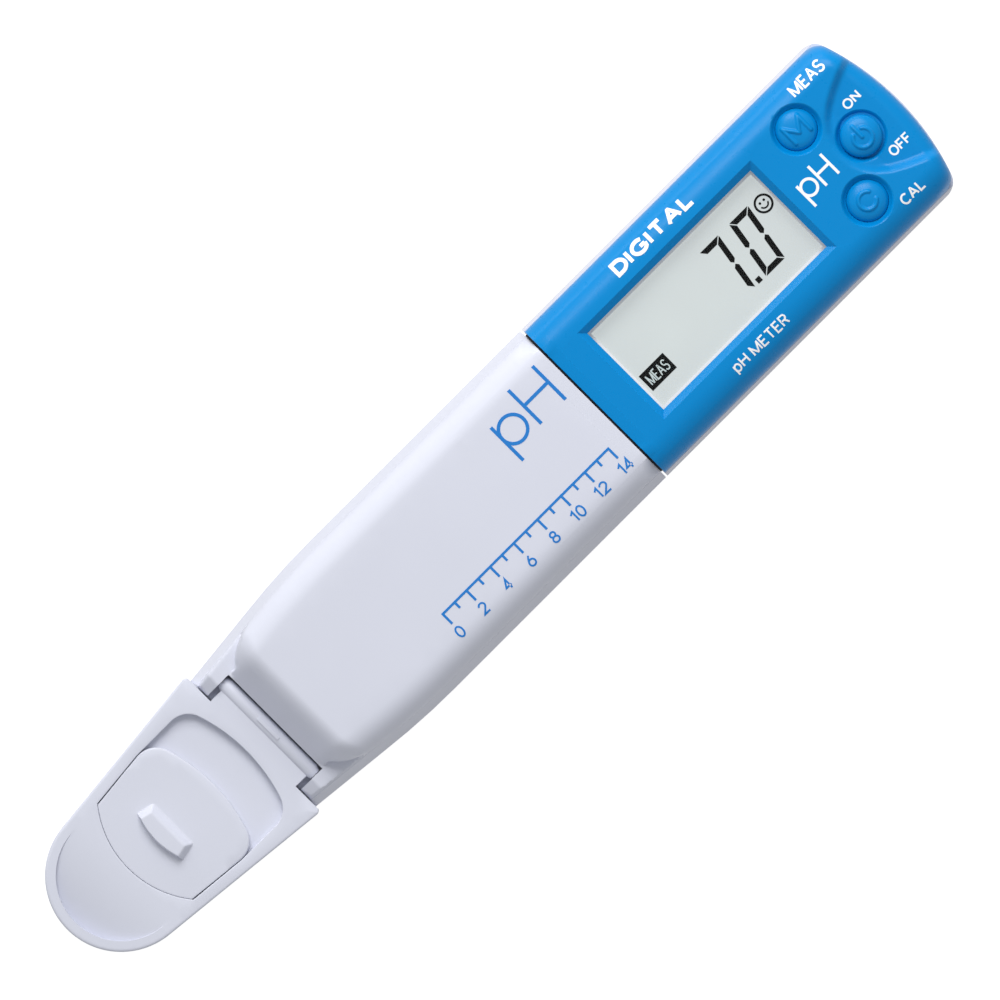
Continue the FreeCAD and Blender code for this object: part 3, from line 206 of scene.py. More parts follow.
def triangles(lines, points=()):
    """Flat points, triangles and their centres through (line, closed) pairs and the points given."""
    coords, edges = [], []
    for line, closed in lines:
        first, count = len(coords), len(line)
        coords += [Vector(p) for p in line]
        edges += [(first + i, first + (i + 1) % count) for i in range(count if closed else count - 1)]
    coords += [Vector(p) for p in points]
    flat, _, faces, _, _, _ = delaunay_2d_cdt(coords, edges, [], 0, 1e-5, False)
    flat = np.array([tuple(v) for v in flat])
    faces = np.array([f for f in faces if len(f) == 3])
    return flat, faces, flat[faces].mean(axis=1)


def triangulate(loops, creases, points):
    """Flat triangles inside the first loop and outside the others, through all the points given."""
    flat, faces, centres = triangles([(l, True) for l in loops] + creases, points)
    kept = inside(centres, loops[0])
    for hole in loops[1:]:
        kept &= ~inside(centres, hole)
    return tidy_triangles(flat, faces[kept])


def field_points(loops, creases, patches):
    """Grid points for each (low, high, step) patch, clear of lines and of finer patches."""
    lines = [(l, True) for l in loops] + creases
    found = np.zeros((0, 2))
    for i, (low, high, step) in enumerate(patches):
        points = grid(low, high, step)
        for finer_low, finer_high, _ in patches[i + 1:]:
            within = np.all((points > np.array(finer_low)) & (points < np.array(finer_high)), axis=1)
            points = points[~within]
        points = points[inside(points, loops[0])]
        for hole in loops[1:]:
            points = points[~inside(points, hole)]
        for line, closed in lines:
            points = points[distance(points, line, closed) > step * 0.4]
        found = np.vstack([found, points])
    return found


def close_field(flat, faces, top, bottom):
    """Vertices and faces of the closed solid between two height fields over the same triangles."""
    count = len(flat)
    verts = np.vstack([np.column_stack([flat, top(flat)]), np.column_stack([flat, bottom(flat)])])
    rim = {}
    for a, b, c in faces:
        for start, end in ((a, b), (b, c), (c, a)):
            if (end, start) in rim:
                del rim[(end, start)]
            else:
                rim[(start, end)] = True
    walls = [(end, start, start + count, end + count) for start, end in rim]
    return verts, [tuple(f) for f in faces] + [tuple(f[::-1] + count) for f in faces] + walls


def field_solid(name, loops, creases, patches, top, bottom, material, body, sharp=35):
    """A closed solid between a top and a bottom height field, over an outline with holes."""
    flat, faces = triangulate(loops, creases, field_points(loops, creases, patches))
    verts, faces = close_field(flat, faces, top, bottom)
    return make_object(name, verts, faces, material, body, sharp)


def circle(centre, radius, steps=64):
    """A closed anticlockwise circle."""
    angles = np.linspace(0, 2 * math.pi, steps, endpoint=False)
    return np.array(centre) + radius * np.column_stack([np.cos(angles), np.sin(angles)])


def rectangle(low, high):
    """A closed anticlockwise rectangle."""
    return np.array([[low[0], low[1]], [high[0], low[1]], [high[0], high[1]], [low[0], high[1]]], float)


# ---------------------------------------------------------------- materials


def new_material(name):
    """An empty node material with its tree, output and principled shader."""
    material = bpy.data.materials.new(name)
    material.use_nodes = True
    tree = material.node_tree
    return material, tree, tree.nodes["Principled BSDF"]


def node(tree, kind, inputs=None, **settings):
    """A shader node with its settings and input values."""
    made = tree.nodes.new(kind)
    for key, value in settings.items():
        setattr(made, key, value)
    for key, value in (inputs or {}).items():
        made.inputs[key].default_value = value
    return made


def linear(red, green, blue):
    """Linear colour from display values of 0 to 255."""
    values = [c / 255 for c in (red, green, blue)]
    return [c / 12.92 if c <= 0.04045 else ((c + 0.055) / 1.055) ** 2.4 for c in values] + [1.0]


def noise(tree, scale, detail=3.0, roughness=0.5):
    """Value socket of a noise in object space, with scale in features per metre."""
    place = node(tree, "ShaderNodeTexCoord")
    made = node(tree, "ShaderNodeTexNoise", {"Scale": scale, "Detail": detail, "Roughness": roughness})
    tree.links.new(place.outputs["Object"], made.inputs["Vector"])
    return made.outputs["Fac"]


def mixed(tree, factor, first, second):
    """A colour mix node driven by a factor socket."""
    made = node(tree, "ShaderNodeMix", data_type="RGBA")
    made.inputs["A"].default_value = first
    made.inputs["B"].default_value = second
    tree.links.new(factor, made.inputs["Factor"])
    return made


def scaled(color, amount):
    """A colour made lighter or darker by a factor."""
    return [min(1.0, c * amount) for c in color[:3]] + [1.0]


def vary_color(tree, factor, color, low, high, target):
    """Feeds a socket a colour that runs from low to high times its strength with a factor socket."""
    tone = mixed(tree, factor, scaled(color, low), scaled(color, high))
    tree.links.new(tone.outputs["Result"], target)


def vary_value(tree, factor, low, high, target):
    """Feeds a socket a number that runs from low to high with a factor socket."""
    spread = node(tree, "ShaderNodeMapRange", {"To Min": low, "To Max": high})
    tree.links.new(factor, spread.inputs["Value"])
    tree.links.new(spread.outputs["Result"], target)


def bump(tree, height, strength, depth, shader):
    """A bump of a height socket, in metres, into the shader's normal."""
    made = node(tree, "ShaderNodeBump", {"Strength": strength, "Distance": depth})
    tree.links.new(height, made.inputs["Height"])
    tree.links.new(made.outputs["Normal"], shader.inputs["Normal"])


def moulded_plastic(name, color, roughness=0.42, grain=0.35, variation=0.03, shine=0.4):
    """Injection-moulded plastic: slight cloudiness, spark-eroded grain and uneven gloss."""
    material, tree, shader = new_material(name)
    cloud = noise(tree, 55, 2.0)
    vary_color(tree, cloud, color, 1 - variation, 1 + variation, shader.inputs["Base Color"])
    gloss = noise(tree, 900, 3.0)
    vary_value(tree, gloss, roughness - 0.05, roughness + 0.07, shader.inputs["Roughness"])
    bump(tree, noise(tree, 6500, 2.0, 0.6), grain, 0.00002, shader)
    shader.inputs["Specular IOR Level"].default_value = shine
    return material


def lit_plastic(name, color, glow):
    """Pale plastic beside the display with a painted glow: it emits light in its own colour, which
    lightens it in the shade of the window's wall.
    """
    material = moulded_plastic(name, color, 0.5, 0.1)
    shader = material.node_tree.nodes["Principled BSDF"]
    # Painted light: the emission makes the plastic glow though it is no lamp.
    shader.inputs["Emission Color"].default_value = color
    shader.inputs["Emission Strength"].default_value = glow
    return material


def rubber(name, color):
    """Soft matt rubber or silicone with a faint bloom."""
    material, tree, shader = new_material(name)
    vary_color(tree, noise(tree, 400, 4.0), color, 0.85, 1.25, shader.inputs["Base Color"])
    shader.inputs["Roughness"].default_value = 0.75
    bump(tree, noise(tree, 3000, 3.0), 0.3, 0.00003, shader)
    return material


def metal(name, color, roughness=0.28, brushed=True):
    """Metal with drawn or turned marks and small gloss changes."""
    material, tree, shader = new_material(name)
    shader.inputs["Metallic"].default_value = 1.0
    place = node(tree, "ShaderNodeTexCoord")
    stretch = node(tree, "ShaderNodeMapping")
    stretch.inputs["Scale"].default_value = (300, 9000, 9000) if brushed else (4000, 4000, 4000)
    tree.links.new(place.outputs["Object"], stretch.inputs["Vector"])
    marks = node(tree, "ShaderNodeTexNoise", {"Scale": 1.0, "Detail": 3.0})
    tree.links.new(stretch.outputs["Vector"], marks.inputs["Vector"])
    vary_color(tree, marks.outputs["Fac"], color, 0.85, 1.1, shader.inputs["Base Color"])
    vary_value(tree, marks.outputs["Fac"], roughness - 0.08, roughness + 0.1, shader.inputs["Roughness"])
    bump(tree, marks.outputs["Fac"], 0.15, 0.00001, shader)
    return material


def circuit_board(name):
    """Green solder mask with darker copper runs under it."""
    material, tree, shader = new_material(name)
    place = node(tree, "ShaderNodeTexCoord")
    runs = node(tree, "ShaderNodeTexBrick", {"Scale": 260.0, "Mortar Size": 0.06})
    runs.inputs["Color1"].default_value = linear(24, 96, 52)
    runs.inputs["Color2"].default_value = linear(20, 84, 46)
    runs.inputs["Mortar"].default_value = linear(44, 132, 74)
    tree.links.new(place.outputs["Object"], runs.inputs["Vector"])
    tree.links.new(runs.outputs["Color"], shader.inputs["Base Color"])
    shader.inputs["Roughness"].default_value = 0.35
    shader.inputs["Coat Weight"].default_value = 0.4
    bump(tree, runs.outputs["Fac"], 0.4, 0.00003, shader)
    return material


def clear_sheet(name, tint, gloss=0.06, roughness=0.03):
    """Thin clear sheet: mostly see-through, with a faint tint and a soft reflection."""
    material, tree, shader = new_material(name)
    tree.nodes.remove(shader)
    out = tree.nodes["Material Output"]
    through = node(tree, "ShaderNodeBsdfTransparent", {"Color": tint})
    shine = node(tree, "ShaderNodeBsdfGlossy", {"Color": (1, 1, 1, 1), "Roughness": roughness})
    mix = node(tree, "ShaderNodeMixShader")
    vary_value(tree, noise(tree, 500, 2.0), gloss * 0.8, gloss * 1.2, mix.inputs["Fac"])
    tree.links.new(through.outputs["BSDF"], mix.inputs[1])
    tree.links.new(shine.outputs["BSDF"], mix.inputs[2])
    tree.links.new(mix.outputs["Shader"], out.inputs["Surface"])
    return material


def printed(name, color, roughness=0.4, shine=0.5):
    """Pad-printed ink, with the slight mottle of a thin film."""
    material, tree, shader = new_material(name)
    vary_color(tree, noise(tree, 2500, 2.0), color, 0.96, 1.03, shader.inputs["Base Color"])
    shader.inputs["Roughness"].default_value = roughness
    shader.inputs["Specular IOR Level"].default_value = shine
    return material


def display_film(name):
    """Silver-green film of a reflective display, with a painted glow: it emits its own tone, which hides
    most shadows cast on it.
    """
    material, tree, shader = new_material(name)
    tone = mixed(tree, noise(tree, 90, 1.0), linear(120, 123, 124), linear(125, 129, 129))
    for target in ("Base Color", "Emission Color"):
        tree.links.new(tone.outputs["Result"], shader.inputs[target])
    # Painted glow: the emission evens out the shadow that the window's edge casts on the display.
    shader.inputs["Emission Strength"].default_value = 2.45
    shader.inputs["Roughness"].default_value = 0.8
    shader.inputs["Specular IOR Level"].default_value = 0.1
    return material


BLUE = moulded_plastic("blue_plastic", linear(0, 134, 204), 0.28, 0.12, 0.03, 0.2)
GREY = moulded_plastic("grey_plastic", linear(216, 218, 230), 0.44, 0.35)
WHITE = moulded_plastic("white_plastic", linear(232, 233, 235), 0.45, 0.3)
SHELL_PLASTIC = {"blue_shell": BLUE, "grey_shell": GREY, "white_plastic": WHITE}
SLOT_MATERIALS = {
    **SHELL_PLASTIC,
    "clear_lens": clear_sheet("lens_clear", (0.985, 0.99, 0.985, 1), 0.008),
    "glass": clear_sheet("glass_clear", (0.98, 0.99, 0.985, 1), 0.02),
    "display_dark": printed("display_black", linear(5, 6, 6), 0.7, 0.1),
    "display_reflector": display_film("display_silver_painted_glow"),
    "black_rubber": rubber("rubber_black", linear(22, 22, 26)),
    "grey_rubber": rubber("rubber_grey", linear(120, 122, 126)),
    "board_green": circuit_board("board_green"),
    "chip_black": moulded_plastic("chip_epoxy", linear(28, 28, 30), 0.5, 0.8, 0.1),
    "steel": metal("steel_turned", linear(190, 190, 192)),
    "bright_steel": metal("steel_bright", linear(214, 214, 214), 0.2, False),
    "gold": metal("gold_plate", linear(226, 190, 110), 0.25, False),
    "amber_film": moulded_plastic("film_amber", linear(196, 130, 40), 0.3, 0.1, 0.08),
    "clear_gel": moulded_plastic("gel", linear(214, 222, 208), 0.15, 0.05),
    "sensor_blue": printed("film_blue", linear(52, 96, 150), 0.35),
    "ceramic": moulded_plastic("ceramic_porous", linear(236, 234, 226), 0.8, 1.0),
    "silver": metal("silver_print", linear(200, 200, 202), 0.35, False),
}
WHITE_INK = printed("ink_white", linear(250, 250, 250), 0.45)
BLUE_INK = printed("ink_blue", linear(20, 122, 204), 0.4)
LIGHT_INK = printed("ink_light", linear(206, 216, 213), 0.5)

for entry in frame["record"]["subparts"]:
    target = NODES[entry["node"]]
    target.data.materials.clear()
    target.data.materials.append(SLOT_MATERIALS[entry["material_slot"]])
    target.visible_shadow = entry["material_slot"] not in ("clear_lens", "glass")
# The display frame gets a painted glow, so its edge stays light inside the window wall's shade.
NODES["display_frame"].data.materials[0] = lit_plastic("frame_white_painted_glow", linear(232, 230, 231), 0.2)


# ---------------------------------------------------------------- blue front cover

COVER_LOW, COVER_HIGH = span("front_cover")
COVER_HALF, COVER_START, COVER_END, FRONT = COVER_HIGH[0], COVER_LOW[1], COVER_HIGH[1], COVER_HIGH[2]
PART_LINE = COVER_LOW[2]
CORNER = np.array([1.8, 2.5])
SIDE_END = COVER_END - 4.35
EDGE_ROUND = 4.3
END_ROUND = 2.4
WINDOW_LOW = np.array([-7.5, 28.1])
WINDOW_HIGH = np.array([7.5, 60.2])
BEVEL = 1.0
BEVEL_DEPTH = 0.9
CEILING = span("window_lens")[1][2] + 0.05
CAVITY_LOW = np.array([-12.1, 23.67])
CAVITY_HIGH = np.array([12.1, 79.0])
CAVITY_STEP = 0.04
NEAR = 0.01
PLUG_HALF = 10.6
PLUG_CLEAR = span("plug_seal_ring")[1][2] + 0.1
BUTTON_BODY = {
    "measure_button": "measure_key",
    "power_button": "power_key",
    "calibrate_button": "calibrate_key",
}
BUTTONS = {name: (span(name)[0][:2] + span(name)[1][:2]) / 2 for name in BUTTON_BODY}
BUTTON_RADIUS = 2.99
HOLE_RADIUS = 3.01
MOAT_RADIUS = 3.74
MOAT_DEPTH = 0.85
FIELD_DEPTH = 1.15
FIELD_SOFT = 1.35
FIELD_START = 69.5
FIELD_LENGTH = 4.5
FIELD_HALF_EDGE = np.array([
    (0, 70.6), (1.8, 70.8), (3.4, 71.5), (4.9, 72.7), (6.1, 74.2), (7.2, 76.1), (8.2, 78.3), (8.9, 80.3),
    (9.5, 83),
])
FIELD_EDGE = np.vstack([FIELD_HALF_EDGE[:0:-1] * (-1, 1), FIELD_HALF_EDGE])


def cover_outline():
    """Plan outline of the blue cover, anticlockwise from its right joint corner."""
    shoulder = SIDE_END + CORNER[1]
    inner = COVER_HALF - CORNER[0]
    corner = (CORNER @ CORNER) / (2 * CORNER[0])
    rise = COVER_END - shoulder
    crown = (inner**2 + rise**2) / (2 * rise)
    return join(
        [(COVER_HALF, COVER_START)],
        arc((COVER_HALF, SIDE_END), (inner, shoulder), corner, 1, 14),
        arc((inner, shoulder), (-inner, shoulder), crown, 1, 60),
        arc((-inner, shoulder), (-COVER_HALF, SIDE_END), corner, 1, 14),
        [(-COVER_HALF, COVER_START)],
    )


COVER_OUTLINE = refine(cover_outline(), 0.8)
END_LINE = COVER_OUTLINE[COVER_OUTLINE[:, 1] >= SIDE_END - NEAR][::-1]


def field_depth(points):
    """Depth of the sunk field round the middle button, which grows towards the display end."""
    edge_y = np.interp(points[:, 0], FIELD_EDGE[:, 0], FIELD_EDGE[:, 1], left=99, right=99)
    away = distance(points, FIELD_EDGE) * np.where(points[:, 1] > edge_y, 1, -1)
    depth = FIELD_DEPTH * np.clip((points[:, 1] - FIELD_START) / FIELD_LENGTH, 0, 1)
    return depth * smooth(away / FIELD_SOFT + 0.5)


def cover_height(points):
    """Height of the blue cover's outer face."""
    x, y = points[:, 0], points[:, 1]
    end = np.interp(x, END_LINE[:, 0], END_LINE[:, 1])
    side_fall = quarter(np.abs(x) - (COVER_HALF - EDGE_ROUND), EDGE_ROUND)
    end_fall = quarter(END_ROUND - (end - y), END_ROUND) + quarter(0.15 - (y - COVER_START), 0.15)
    height = FRONT - side_fall - end_fall
    height -= field_depth(points) * np.clip(1 - side_fall / EDGE_ROUND, 0, 1)
    for centre in BUTTONS.values():
        away = np.hypot(*(points - centre).T)
        height -= MOAT_DEPTH * smooth((MOAT_RADIUS - away) / (MOAT_RADIUS - HOLE_RADIUS))
    past = np.maximum(np.maximum(WINDOW_LOW - points, points - WINDOW_HIGH), 0).max(axis=1)
    return height - BEVEL_DEPTH * np.clip(1 - past / BEVEL, 0, 1)


def cover_underside(points):
    """Height of the blue cover's inner face: walls, ceiling and the opening for the plug."""
    x, y = np.abs(points[:, 0]), points[:, 1]
    under = np.full(len(points), PART_LINE)
    before_cavity = y < CAVITY_LOW[1] - NEAR
    notch_half = min(span("connector_plug")[1][0], PLUG_HALF)
    under[(x < notch_half) & before_cavity] = PLUG_CLEAR
    under[(x < CAVITY_HIGH[0] + NEAR) & ~before_cavity & (y < CAVITY_HIGH[1] + NEAR)] = CEILING
    return under


def build_cover():
    """The blue cover with its window, bevel, button holes and sunk field."""
    window = rectangle(WINDOW_LOW, WINDOW_HIGH)
    bevel_edge = rectangle(WINDOW_LOW - BEVEL, WINDOW_HIGH + BEVEL)
    loops = [COVER_OUTLINE, refine(window, 2.0)]
    loops += [circle(centre, HOLE_RADIUS, ROUND_STEPS) for centre in BUTTONS.values()]
    creases = [(refine(bevel_edge, 2.0), True)]
    creases += [(np.array([a, b]), False) for a, b in zip(window, bevel_edge)]
    for step in (0, CAVITY_STEP):
        creases.append((refine(rectangle(CAVITY_LOW - step, CAVITY_HIGH + step), 0.4), True))
    for centre in BUTTONS.values():
        for radius in (3.15, 3.28, 3.42, 3.56, MOAT_RADIUS):
            creases.append((circle(centre, radius, ROUND_STEPS), True))
    for angle in range(12, 91, 13):
        fall = EDGE_ROUND * (1 - math.cos(math.radians(angle)))
        for side in (-1, 1):
            x = side * (COVER_HALF - fall)
            line = np.array([(x, COVER_START + 0.05), (x, SIDE_END - 1.5)])
            creases.append((refine(line, 2.2, False), False))
    patches = [
        ((-9.2, 21), (9.2, 64), 2.4),
        ((-14, 62), (14, 83), 0.42),
        ((-10.5, 69.6), (10.5, 83), 0.27),
    ]
    cover = field_solid("front_cover_shell", loops, creases, patches, cover_height, cover_underside,
                        BLUE, "meter")
    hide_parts("front_cover")


# ---------------------------------------------------------------- buttons

CAP_RISE = 0.15
CAP_DOME = 0.5
CAP_ROUND = 1.25
CAP_EDGE_DROP = 0.5
MARK_RISE = 0.26
MARK_HALF = 0.4
MARK_SOFT = 0.34
STEM_RADIUS = 1.6
FLANGE_GAP = 0.1
FLANGE_THICK = 0.8


def icon_lines(name):
    """Centre lines of a button's raised mark, in the reader's axes: right, up."""
    if name == "measure_button":
        return [np.array([(-1.45, -1.4), (-1.45, 1.4), (0, -0.6), (1.45, 1.4), (1.45, -1.4)])]
    if name == "power_button":
        return [ellipse((0, -0.35), (1.4, 1.4), 125, 415, 10), np.array([(0, -0.2), (0, 1.75)])]
    return [ellipse((0, 0), (1.3, 1.3), 38, 328, 10)]


def reader_to_plan(points, origin=(0, 0)):
    """Turns the reader's right and up into the plan: text runs along +Y with its top towards -X."""
    return np.column_stack([origin[0] - points[:, 1], origin[1] + points[:, 0]])


def build_buttons():
    """Domed caps with a raised mark and a flange below the cover."""
    for name, centre in BUTTONS.items():
        low, high = span(name)
        flange_radius = (high[0] - low[0]) / 2
        flange_top = CEILING - FLANGE_GAP
        lines = [reader_to_plan(line, centre) for line in icon_lines(name)]

        def top(points):
            """Outer face of the cap and flange."""
            away = np.hypot(*(points - centre).T)
            cap = FRONT + CAP_RISE - CAP_DOME * (away / BUTTON_RADIUS) ** 2
            cap -= CAP_EDGE_DROP * quarter(away - (BUTTON_RADIUS - CAP_ROUND), CAP_ROUND)
            mark = np.min([distance(points, line) for line in lines], axis=0)
            cap += MARK_RISE * smooth((MARK_HALF - mark) / MARK_SOFT)
            return np.where(away > BUTTON_RADIUS + NEAR, flange_top, cap)

        def under(points):
            """Underside with the stem that presses the mat."""
            away = np.hypot(*(points - centre).T)
            return np.where(away < STEM_RADIUS + NEAR, low[2], flange_top - FLANGE_THICK)

        loops = [circle(centre, flange_radius, ROUND_STEPS)]
        creases = [
            (circle(centre, radius, ROUND_STEPS), True)
            for radius in (STEM_RADIUS, STEM_RADIUS + 3 * NEAR, 2.65, 2.75, 2.85, 2.91,
                           BUTTON_RADIUS, BUTTON_RADIUS + 2 * NEAR)
        ]
        reach = np.array([2.66, 2.66])
        patches = [(centre - reach, centre + reach, 0.1)]
        cap = field_solid(name + "_cap", loops, creases, patches, top, under, BLUE, BUTTON_BODY[name], 50)
        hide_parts(name)


# ---------------------------------------------------------------- sensor's front shell

SHELL_LOW, SHELL_HIGH = span("sensor_front_shell")
SHELL_START, SHELL_END = SHELL_HIGH[1], SHELL_LOW[1]
SHELL_HALF = SHELL_HIGH[0]
SHELL_ROUND = 3.9
HINGE = (span("hinge_pin")[0] + span("hinge_pin")[1]) / 2
FRONT_FALL = 1.6
EAR_INNER = 9.25
EAR_TOP = 12.6
HOLLOW_START = 4.6
NECK_WALL = -40.93
SHOULDER = (-38.05, 17.1)
SHOULDER_SLOPE = 1.6
SHOULDER_END = -35.0
BODY_FOOT = np.array([
    (EAR_INNER + 0.02, -41.5), (EAR_INNER + 0.02, -39.7), (9.5, -39.35), (10.1, -38.85), (10.7, -38.15),
    (11.2, -37.3), (11.9, -35.8), (13.5, -32.0),
])
TAPER_START, TAPER_END, TAPER_RADIUS = -20.0, -33.0, 111.0


def shell_half(y):
    """Half width of the front shell's foot along the sensor."""
    curved = SHELL_HALF - np.clip(TAPER_START - y, 0, None) ** 2 / (2 * TAPER_RADIUS)
    at_end = SHELL_HALF - (TAPER_START - TAPER_END) ** 2 / (2 * TAPER_RADIUS)
    neck = 11.2
    straight = at_end + (neck - at_end) * (TAPER_END - y) / (TAPER_END - SHELL_END)
    return np.where(y > TAPER_START, SHELL_HALF, np.where(y > TAPER_END, curved, straight))


def shell_height(points):
    """Height of the sensor's outer front face, with its shoulder and the tops of the ears."""
    x, y = np.abs(points[:, 0]), points[:, 1]
    half = shell_half(y)
    front = FRONT - FRONT_FALL * (SHELL_START - y) / (SHELL_START - SHELL_END)
    sides = front - quarter(x - (half - SHELL_ROUND), SHELL_ROUND)
    shifted = y - 1.6 * np.clip((x - 7.6) / 3.4, 0, 1.1) ** 2
    shoulder = SHOULDER[1] + SHOULDER_SLOPE * (shifted - SHOULDER[0])
    body = soft_min(sides, shoulder, 2.0) - quarter(0.25 - (SHELL_START - y), 0.25)
    ear = EAR_TOP - np.clip(-43.0 - y, 0, 3) * 0.75 - quarter(x - (half - 0.5), 0.5)
    mirrored = np.column_stack([x, y])
    past = distance(mirrored, BODY_FOOT) * np.where(body_side(mirrored), 1, -1)
    return ear + (np.maximum(body, ear) - ear) * smooth(past / 0.24)


def body_foot_lines():
    """Lines along the foot of the body's corner wall, from its foot up to its top."""
    foot = BODY_FOOT[:-1].copy()
    foot[0, 1] += 0.78
    foot = refine(foot, 0.25, False)
    way = np.gradient(foot, axis=0)
    way /= np.hypot(*way.T)[:, None]
    towards_body = np.column_stack([-way[:, 1], way[:, 0]])
    return [foot + towards_body * away for away in (0, 0.08, 0.16, 0.24)]


def body_side(mirrored):
    """Which points of the right half lie on the body's side of its foot line."""
    foot = np.interp(mirrored[:, 0], BODY_FOOT[1:, 0], BODY_FOOT[1:, 1])
    return (mirrored[:, 0] < BODY_FOOT[0, 0]) | (mirrored[:, 1] > foot)


def build_sensor_front():
    """The grey front shell of the sensor."""
    tapered = np.linspace(SHELL_END, TAPER_START, 60)
    ys = np.concatenate([tapered, np.linspace(TAPER_START, SHELL_START, 24)[1:]])
    right = np.column_stack([shell_half(ys), ys])
    left = right[::-1] * (-1, 1)
    gap = np.array([(-EAR_INNER, SHELL_END), (-EAR_INNER, NECK_WALL), (EAR_INNER, NECK_WALL),
                    (EAR_INNER, SHELL_END)])
    loop = join(right, left, refine(gap, 0.3, False))
    creases = []
    for angle in range(10, 91, 10):
        fall = SHELL_ROUND * (1 - math.cos(math.radians(angle)))
        rounded = ys[ys > SHOULDER_END]
        for side in (-1, 1):
            xs = side * (shell_half(rounded) - fall)
            creases.append((np.column_stack([xs, rounded])[:-1], False))
    for side in (-1, 1):
        creases += [(line * (side, 1), False) for line in body_foot_lines()]
    for x in (PLUG_HALF, PLUG_HALF + CAVITY_STEP):
        line = refine(rectangle((-x, HOLLOW_START), (x, SHELL_START - 0.05)), 0.5)
        creases.append((line, True))
    patches = [((-9.2, -47), (9.2, 22), 2.2), ((-14, -46), (14, -34.5), 0.3)]

    def under(points):
        """Flat foot, hollow where the meter's plug enters."""
        x, y = np.abs(points[:, 0]), points[:, 1]
        hollow = (x < PLUG_HALF + NEAR) & (y > HOLLOW_START - NEAR)
        return np.where(hollow, PLUG_CLEAR, PART_LINE)

    shell = field_solid("sensor_front", [loop], creases, patches, shell_height, under, GREY, "sensor")
    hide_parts("sensor_front_shell")


# ---------------------------------------------------------------- lid and slide cap

LID_LOW = span("light_shield_lid")[0]
LID_TOP = 11.5
LID_START = -45.35
LID_HALF = 13.35
TIP_RADIUS = 10.63
TIP_Y = LID_LOW[1] + TIP_RADIUS
TAPER = math.radians(5.909)
TONGUE_HALF = 8.4
BARREL_RADIUS = 1.15
OPENING_HALF = 8.2
OPENING_LOW, OPENING_HIGH = -66.6, -64.8
SLOT_FLOOR = 10.2
SLOT_SOFT = 0.14
SLOT_HALF = 10.3
SLOT_HIGH = -46.7
SLIDE_TRAVEL = 6.4
RIM = 1.5
WALL_STEP = 0.03
SCOOP_LINE = -66.0
SCOOP_START = -70.2
SCOOP_LENGTH = 10.3
SCOOP_DEPTH = 1.75
SKIRT = 0.87
LID_CEILING = 9.4


def tip_loop(inset_by, start, corner=0.6):
    """Outline of the lid drawn in by an amount, anticlockwise from its left neck corner."""
    radius = TIP_RADIUS - inset_by
    half = LID_HALF - inset_by / math.cos(TAPER) + (start - LID_START) * math.tan(TAPER)
    touch = np.array([radius * math.cos(TAPER), TIP_Y - radius * math.sin(TAPER)])
    left = touch * (-1, 1)
    bottom = (0, TIP_Y - radius)
    lean = corner * math.tan(TAPER)
    return join(
        arc((-half + corner, start), (-half + lean, start - corner), corner * 1.05, 1, 8),
        arc(left, bottom, radius, 1, 36),
        arc(bottom, touch, radius, 1, 36),
        arc((half - lean, start - corner), (half - corner, start), corner * 1.05, 1, 8),
    )


def slot_loop(gap=0.0, shift=0.0, lower_gap=None):
    """Outline of the slide's pocket, or of the slide cap itself."""
    lower_gap = gap if lower_gap is None else lower_gap
    high = SLOT_HIGH - gap - shift
    neck = high - 1.25
    side = SLOT_HALF - gap
    crown_half = side - 2.4
    low_half = 9.45 - 2 * gap
    bow = 15.0 - lower_gap
    low = -54.95 - math.sqrt(bow**2 - low_half**2)
    corner = (2.4**2 + 3.25**2) / (2 * 2.4)
    crown = (crown_half**2 + 1.25**2) / 2.5
    return join(
        arc((side, neck - 3.25), (crown_half, neck), corner, 1, 14),
        arc((crown_half, neck), (-crown_half, neck), crown, 1, 40),
        arc((-crown_half, neck), (-side, neck - 3.25), corner, 1, 14),
        [(-side, -58.0)],
        arc((-low_half, low), (low_half, low), bow, 1, 40),
        [(side, -58.0)],
    )


LID_OUTLINE = refine(tip_loop(0, LID_START), 0.7)
SLOT = slot_loop()
SCOOP = tip_loop(RIM, SCOOP_LINE)


def scoop_depth(points):
    """Depth of the finger scoop that falls towards the tip."""
    run = np.clip((SCOOP_START - points[:, 1]) / SCOOP_LENGTH, 0, 1)
    deep = SCOOP_DEPTH * run**2.2
    away = distance(points, SCOOP, closed=True) * np.where(inside(points, SCOOP), 1, -1)
    return np.where((points[:, 1] < SCOOP_LINE) & (away > WALL_STEP / 2), deep, 0)


def lid_height(points):
    """Height of the lid's outer face."""
    edge = distance(points, LID_OUTLINE, closed=True)
    tongue = (np.abs(points[:, 0]) < TONGUE_HALF + NEAR) & (points[:, 1] > LID_START - 0.6)
    height = LID_TOP - quarter(0.35 - np.where(tongue, 1, edge), 0.35)
    height -= scoop_depth(points)
    to_slot = distance(points, SLOT, closed=True)
    height -= quarter(SLOT_SOFT - to_slot, SLOT_SOFT)
    return np.where(inside(points, SLOT) | (to_slot < NEAR), SLOT_FLOOR, height)


def lid_underside(points):
    """Height of the lid's inner face: a skirt round the sides and tip, open towards the neck."""
    hollow = inside(points, tip_loop(SKIRT, LID_START + 3)) | (points[:, 1] > LID_START - NEAR / 2)
    under = np.where(hollow, LID_CEILING, LID_LOW[2])
    return np.where(points[:, 1] > LID_START + NEAR, HINGE[2] - BARREL_RADIUS, under)


def lathe(name, profile, centre, material, body, steps=48):
    """A solid turned about X: profile is (distance along the axis, radius)."""
    verts, faces = [], []
    for position, radius in profile:
        for angle in np.linspace(0, 2 * math.pi, steps, endpoint=False):
            offset = (position, radius * math.cos(angle), radius * math.sin(angle))
            verts.append(np.array(centre) + offset)
    for start in range(0, (len(profile) - 1) * steps, steps):
        for i in range(steps):
            j = (i + 1) % steps
            faces.append((start + i, start + j, start + steps + j, start + steps + i))
    last = (len(profile) - 1) * steps
    faces.append(tuple(range(steps))[::-1])
    faces.append(tuple(range(last, last + steps)))
    made = make_object(name, verts, faces, material, body)
    fix_normals(made)
    return made


